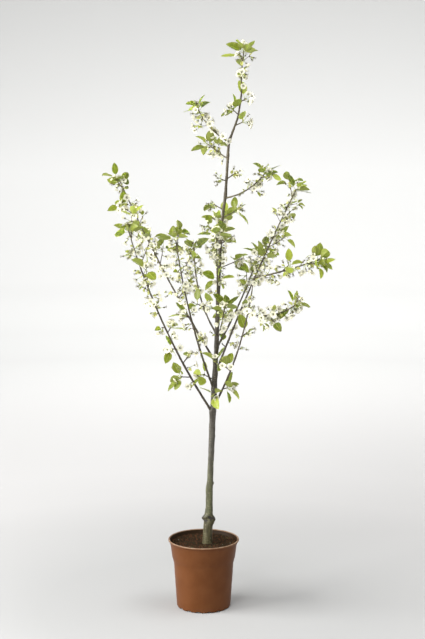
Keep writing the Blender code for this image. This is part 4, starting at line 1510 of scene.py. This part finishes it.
def bough_piece(shoots, material):
    shell = Shell()
    rng = random.Random(FINE_SEED + 3)
    for limb in LIMBS:
        if not limb.bare:
            continue
        shoot = shoots[limb.name]
        end = shoot.length * limb.bare
        points, radii = stretch(shoot, 0, end, BOUGH_RING)
        parent_radius = smooth_trunk(limb.along)[1]
        swollen = []
        for index, radius in enumerate(radii):
            past = max(0, end * index / (len(radii) - 1) - parent_radius)
            swollen.append(radius * BOUGH_SLIMMER * (1 + 0.55 * math.exp(-past / 0.007)))
        pores = pores_on(rng, points[0].z, points[-1].z, int(end / 0.006), 0.004)
        phase = rng.uniform(0, 10)

        def relief(place, angle, radius):
            knuckle = max(0, math.sin(place.z / 0.032 * math.tau + phase)) ** 12
            lift = 0.0005 * noise.noise(place * 80) + 0.0004 * knuckle
            lift += 0.00015 * noise.noise(Vector((place.x * 420, place.y * 420, place.z * 700)))
            return lift + pore_lift(pores, place.z, angle, 0.00022)

        sweep(shell, points, swollen, BOUGH_SIDES, relief)
    piece = shell.made("bough_bark")
    piece.data.materials.append(material)
    return piece


def twig_piece(stems, twigs, material):
    """The masses' stems and every twig and spur, bowed a little, with rings and bud scars."""
    shell = Shell()
    rng = random.Random(FINE_SEED + 4)

    def knuckled(place, angle, radius):
        return radius * (0.10 * noise.noise(place * 300) + 0.06 * math.sin(place.z * 900))

    for _, shoot, start, _, _ in stems:
        overlap = 0.002 if start else 0
        sweep(shell, *stretch(shoot, start - overlap, shoot.length, 0.004), 9, knuckled)
    for twig in twigs:
        way = twig.tip - twig.foot
        count = max(4, round(way.length / 0.006))
        bow = Matrix.Rotation(rng.uniform(0, math.tau), 3, way.normalized()) @ way.orthogonal()
        bow = bow.normalized() * way.length * 0.02
        shares = [i / count for i in range(count + 1)]
        points = [twig.foot.lerp(twig.tip, s) + bow * math.sin(math.pi * s) for s in shares]
        radii = [(twig.thick + (twig.thin - twig.thick) * s) / 2 for s in shares]
        sweep(shell, points, radii, 6, knuckled)
    piece = shell.made("twigs")
    piece.data.materials.append(material)
    return piece


def scale_piece(parts, tree):
    """A cluster of bud scales wherever stalks come together."""
    rng = random.Random(FINE_SEED + 5)
    places = []
    for part in feet_of(parts):
        size = 0.0022 * rng.uniform(0.8, 1.2)
        turn = turn_along(part.heading)
        places.append(Place(tuple(part.foot), turn, (size,) * 3, rng.randrange(2)))
    shapes = [scale_shape(f"bud_scales_{i}", rng) for i in range(2)]
    finish = grown_material("bud_scale", "#48382a", "#5f4d3b", 0.6, 2)
    return dealt_piece("bud_scales", places, shapes, finish, tree)


def lathe(name, profile, steps, shift, marked=0):
    """A closed solid from a profile that starts inside on the axis and ends under it. Shift
    moves each point, and the first points of the profile carry a mark."""
    shell = Shell()
    rings = []
    for index, (radius, height) in enumerate(profile[1:-1]):
        ring = []
        for step in range(steps):
            angle = math.tau * step / steps
            r, z = shift(radius, height, angle)
            mark = (1 if index < marked else 0, 0, 0)
            ring.append(shell.vert((r * math.cos(angle), r * math.sin(angle), z), mark))
        rings.append(ring)
    rings.reverse()
    shell.bands(rings)
    shell.fan(shell.vert((0, 0, profile[-1][1])), rings[0][::-1])
    shell.fan(shell.vert((0, 0, profile[0][1]), (1 if marked else 0, 0, 0)), rings[-1])
    return shell.made(name, sharp_above=35)


def arc(centre, radius, start, end, count):
    """Profile points on an arc, with angles in degrees from outward."""
    turns = [math.radians(start + (end - start) * i / count) for i in range(count + 1)]
    return [(centre[0] + radius * math.cos(t), centre[1] + radius * math.sin(t)) for t in turns]


def pot_piece(material):
    """The moulded pot: rolled rim, flared neck, collar, tapering body and slotted foot."""
    rim_foot = POT_HEIGHT - RIM_HEIGHT
    lip = RIM_WIDTH / 2
    roll = (RIM_RADIUS - lip, POT_HEIGHT - lip)
    neck = rim_foot - FLARE_HEIGHT
    outer = [
        (RIM_RADIUS - 0.0022, rim_foot + 0.0004),
        (RIM_RADIUS - 0.0042, rim_foot - 0.0025),
        (COLLAR_TOP_RADIUS + 0.0016, neck + 0.0045),
        (COLLAR_TOP_RADIUS, neck),
        (COLLAR_FOOT_RADIUS + 0.0004, COLLAR_FOOT_HEIGHT + 0.001),
        (COLLAR_FOOT_RADIUS - 0.0006, COLLAR_FOOT_HEIGHT - 0.001),
        (BODY_TOP_RADIUS, BODY_TOP_HEIGHT),
        (BASE_RADIUS + 0.0004, 0.012),
        (BASE_RADIUS - 0.0004, 0.006),
    ]
    foot_inner = BASE_RADIUS - FOOT_RING_WIDTH
    chamfer = arc((BASE_RADIUS - 0.0034, 0.003), 0.003, 0, -90, 4)
    under = [
        (foot_inner + 0.001, 0),
        (foot_inner, 0.001),
        (foot_inner, FLOOR_RECESS),
        (PAD_RADIUS + 0.001, FLOOR_RECESS),
        (PAD_RADIUS, 0.001),
        (PAD_RADIUS - 0.001, 0),
        (0, 0),
    ]
    inner = [(radius - WALL, height) for radius, height in reversed(outer[2:])]
    inner[0] = (BASE_RADIUS - WALL, FLOOR_RECESS + WALL + 0.001)
    floor = [(0, FLOOR_RECESS + WALL), (BASE_RADIUS - WALL - 0.001, FLOOR_RECESS + WALL)]
    rim = arc(roll, lip, 180, -60, 12)

    def notched(radius, height, angle):
        slot = math.tau / NOTCH_COUNT
        off = abs((angle / slot) % 1 - 0.5) * slot * radius
        if height < SLOT_HEIGHT and foot_inner - 0.0005 < radius and off < SLOT_WIDTH / 2:
            height = SLOT_HEIGHT
        return radius, height

    profile = [*floor, *inner, *rim, *outer, *chamfer, *under]
    pot = lathe("pot_shell", profile, POT_FINE_STEPS, notched, len(inner) + 2)
    pot.data.materials.append(material)
    return pot


def soil_radius(height):
    """The compost's radius, clear of the pot's wall."""
    walls = (
        (BODY_TOP_HEIGHT, BODY_TOP_RADIUS),
        (COLLAR_FOOT_HEIGHT, COLLAR_FOOT_RADIUS),
        (POT_HEIGHT - RIM_HEIGHT - FLARE_HEIGHT, COLLAR_TOP_RADIUS),
    )
    low, high = walls[:2] if height < COLLAR_FOOT_HEIGHT else walls[1:]
    share = min(1, (height - low[0]) / (high[0] - low[0]))
    return low[1] + (high[1] - low[1]) * share - WALL - CLEAR


def compost_pieces(tree):
    """The compost's uneven surface, with all that is strewn on it."""
    edge = soil_radius(SOIL_LEVEL)
    top = [(edge * i / SOIL_RINGS, SOIL_LEVEL) for i in range(SOIL_RINGS + 1)]
    wall = [(soil_radius(level), level) for level in (COLLAR_FOOT_HEIGHT, BODY_TOP_HEIGHT)]
    bottom = (BASE_RADIUS - WALL - CLEAR, FLOOR_RECESS + WALL + CLEAR)
    trunk_foot = Vector((TRUNK[0][1], TRUNK[0][2], 0))

    def uneven(radius, height, angle):
        if height < SOIL_LEVEL - 0.001:
            return radius, height
        place = Vector((radius * math.cos(angle), radius * math.sin(angle), 0))
        swell = 0.0022 * noise.noise(place * 28) + 0.0016 * noise.noise(place * 90)
        swell += 0.0010 * noise.noise(place * 260)
        mound = 0.0035 * math.exp(-(((place - trunk_foot).length / 0.028) ** 2))
        return radius, height + swell + mound + 0.0030 * (radius / edge) ** 6

    compost = lathe("compost", [*top, *wall, bottom, (0, bottom[1])], SOIL_STEPS, uneven)
    compost.data.materials.append(compost_material())
    pieces = [compost]
    carrier = lathe("carrier", [*top, (0, SOIL_LEVEL - 0.002)], SOIL_STEPS, uneven)
    rng = random.Random(FINE_SEED + 6)
    for seed, (name, finish, low, high, density, smallest, largest, flat) in enumerate(STREWS):
        values = {"Density": density, "Smallest": smallest, "Largest": largest, "Seed": seed}
        values["Finish"] = grown_material(finish, low, high, 0.9, 2)
        shapes = [crumb_shape(f"{name}_{i}", rng, flat) for i in range(4)]
        pieces.append(grown_piece(name, carrier, shapes, tree, **values))
    bpy.data.objects.remove(carrier, do_unlink=True)
    return pieces


# Studio


def studio():
    """A wide bowl of pale paper, open at the top, that the pot stands in."""
    turns = [math.radians(90 * i / 16) for i in range(17)]
    outline = [(0.5, 0.0), (STUDIO_FLOOR / 2, 0.0)]
    for turn in turns:
        out = STUDIO_FLOOR + STUDIO_COVE * math.sin(turn)
        outline.append((out, STUDIO_COVE * (1 - math.cos(turn))))
    outline.append((STUDIO_FLOOR + STUDIO_COVE, STUDIO_HEIGHT))
    shell = Shell()
    rings = []
    for radius, level in outline:
        angles = [-math.tau * i / 96 for i in range(96)]
        spots = [(radius * math.cos(a), radius * math.sin(a), level) for a in angles]
        rings.append([shell.vert(spot) for spot in spots])
    shell.bands(rings)
    shell.faces.append(tuple(reversed(rings[0])))
    floor = shell.made("studio_floor")
    floor.data.materials.append(paper_material())


def lights():
    """Large soft lights from the left, and one on the paper behind."""
    world = bpy.data.worlds.new("studio_air")
    world.use_nodes = True
    tree = world.node_tree
    tree.nodes.clear()
    way = add(tree, "ShaderNodeTexCoord")["Generated"]
    right = add(tree, "ShaderNodeSeparateXYZ", {"Vector": way})["X"]
    span = {"Value": right, "From Min": -1, "From Max": 1, "To Min": AIR_LEFT, "To Max": AIR_RIGHT}
    strength = add(tree, "ShaderNodeMapRange", span)["Result"]
    glow = {"Color": linear("#ffffff"), "Strength": strength}
    air = add(tree, "ShaderNodeBackground", glow)["Background"]
    add(tree, "ShaderNodeOutputWorld", {"Surface": air})
    bpy.context.scene.world = world
    for name, place, target, width, height, watts in LAMPS:
        data = bpy.data.lights.new(name, "AREA")
        data.shape = "RECTANGLE"
        data.energy = watts
        data.size = width
        data.size_y = height
        lamp = bpy.data.objects.new(name, data)
        lamp.location = place
        lamp.visible_camera = False
        aim = Vector(target) - Vector(place)
        lamp.rotation_euler = aim.to_track_quat("-Z", "Y").to_euler()
        bpy.context.scene.collection.objects.link(lamp)
    bpy.context.scene.view_settings.view_transform = "Standard"


def camera():
    data = bpy.data.cameras.new("photo_view")
    data.sensor_width = SENSOR
    data.lens = FOCAL_PIXELS / IMAGE_HEIGHT * SENSOR
    data.clip_end = 100
    view = bpy.data.objects.new("photo_view", data)
    view.location = CAMERA_PLACE
    view.rotation_euler = (math.radians(90 - CAMERA_TILT), 0, 0)
    bpy.context.scene.collection.objects.link(view)
    bpy.context.scene.camera = view


def main():
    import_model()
    camera()
    lights()
    studio()
    shoots = limb_shoots()
    stems, parts = whole_growth(shoots)
    leaves = [part for part in parts if isinstance(part, Leaf)]
    blossoms = [part for part in parts if isinstance(part, Blossom)]
    dealing = dealing_tree()
    bark = bark_material("cherry_bark", TRUNK_TONES, True)
    shoot_bark = bark_material("cherry_shoot_bark", SHOOT_TONES, False)
    trunk = trunk_piece(bark)
    boughs = bough_piece(shoots, shoot_bark)
    twigs = twig_piece(stems, [part for part in parts if isinstance(part, Twig)], shoot_bark)
    scales = scale_piece(leaves + blossoms, dealing)
    foliage = leaf_pieces(leaves, dealing)
    bloom = blossom_pieces(blossoms, dealing)
    pot = pot_piece(pot_material())
    compost = compost_pieces(strewing_tree())
    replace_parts(trunk, "trunk")
    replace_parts(boughs, *[limb.name + "_bough" for limb in LIMBS if limb.bare])
    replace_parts(twigs, *[name for name, *_ in stems])
    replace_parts(pot, "pot")
    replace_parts(compost[0], "soil")
    slots = (
        ((trunk, boughs), "bark"),
        ((twigs, scales, *foliage, *bloom), "leaf_and_blossom"),
        ((pot,), "pot"),
        (compost, "soil"),
    )
    for pieces, slot in slots:
        for piece in pieces:
            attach(piece, "root")


main()
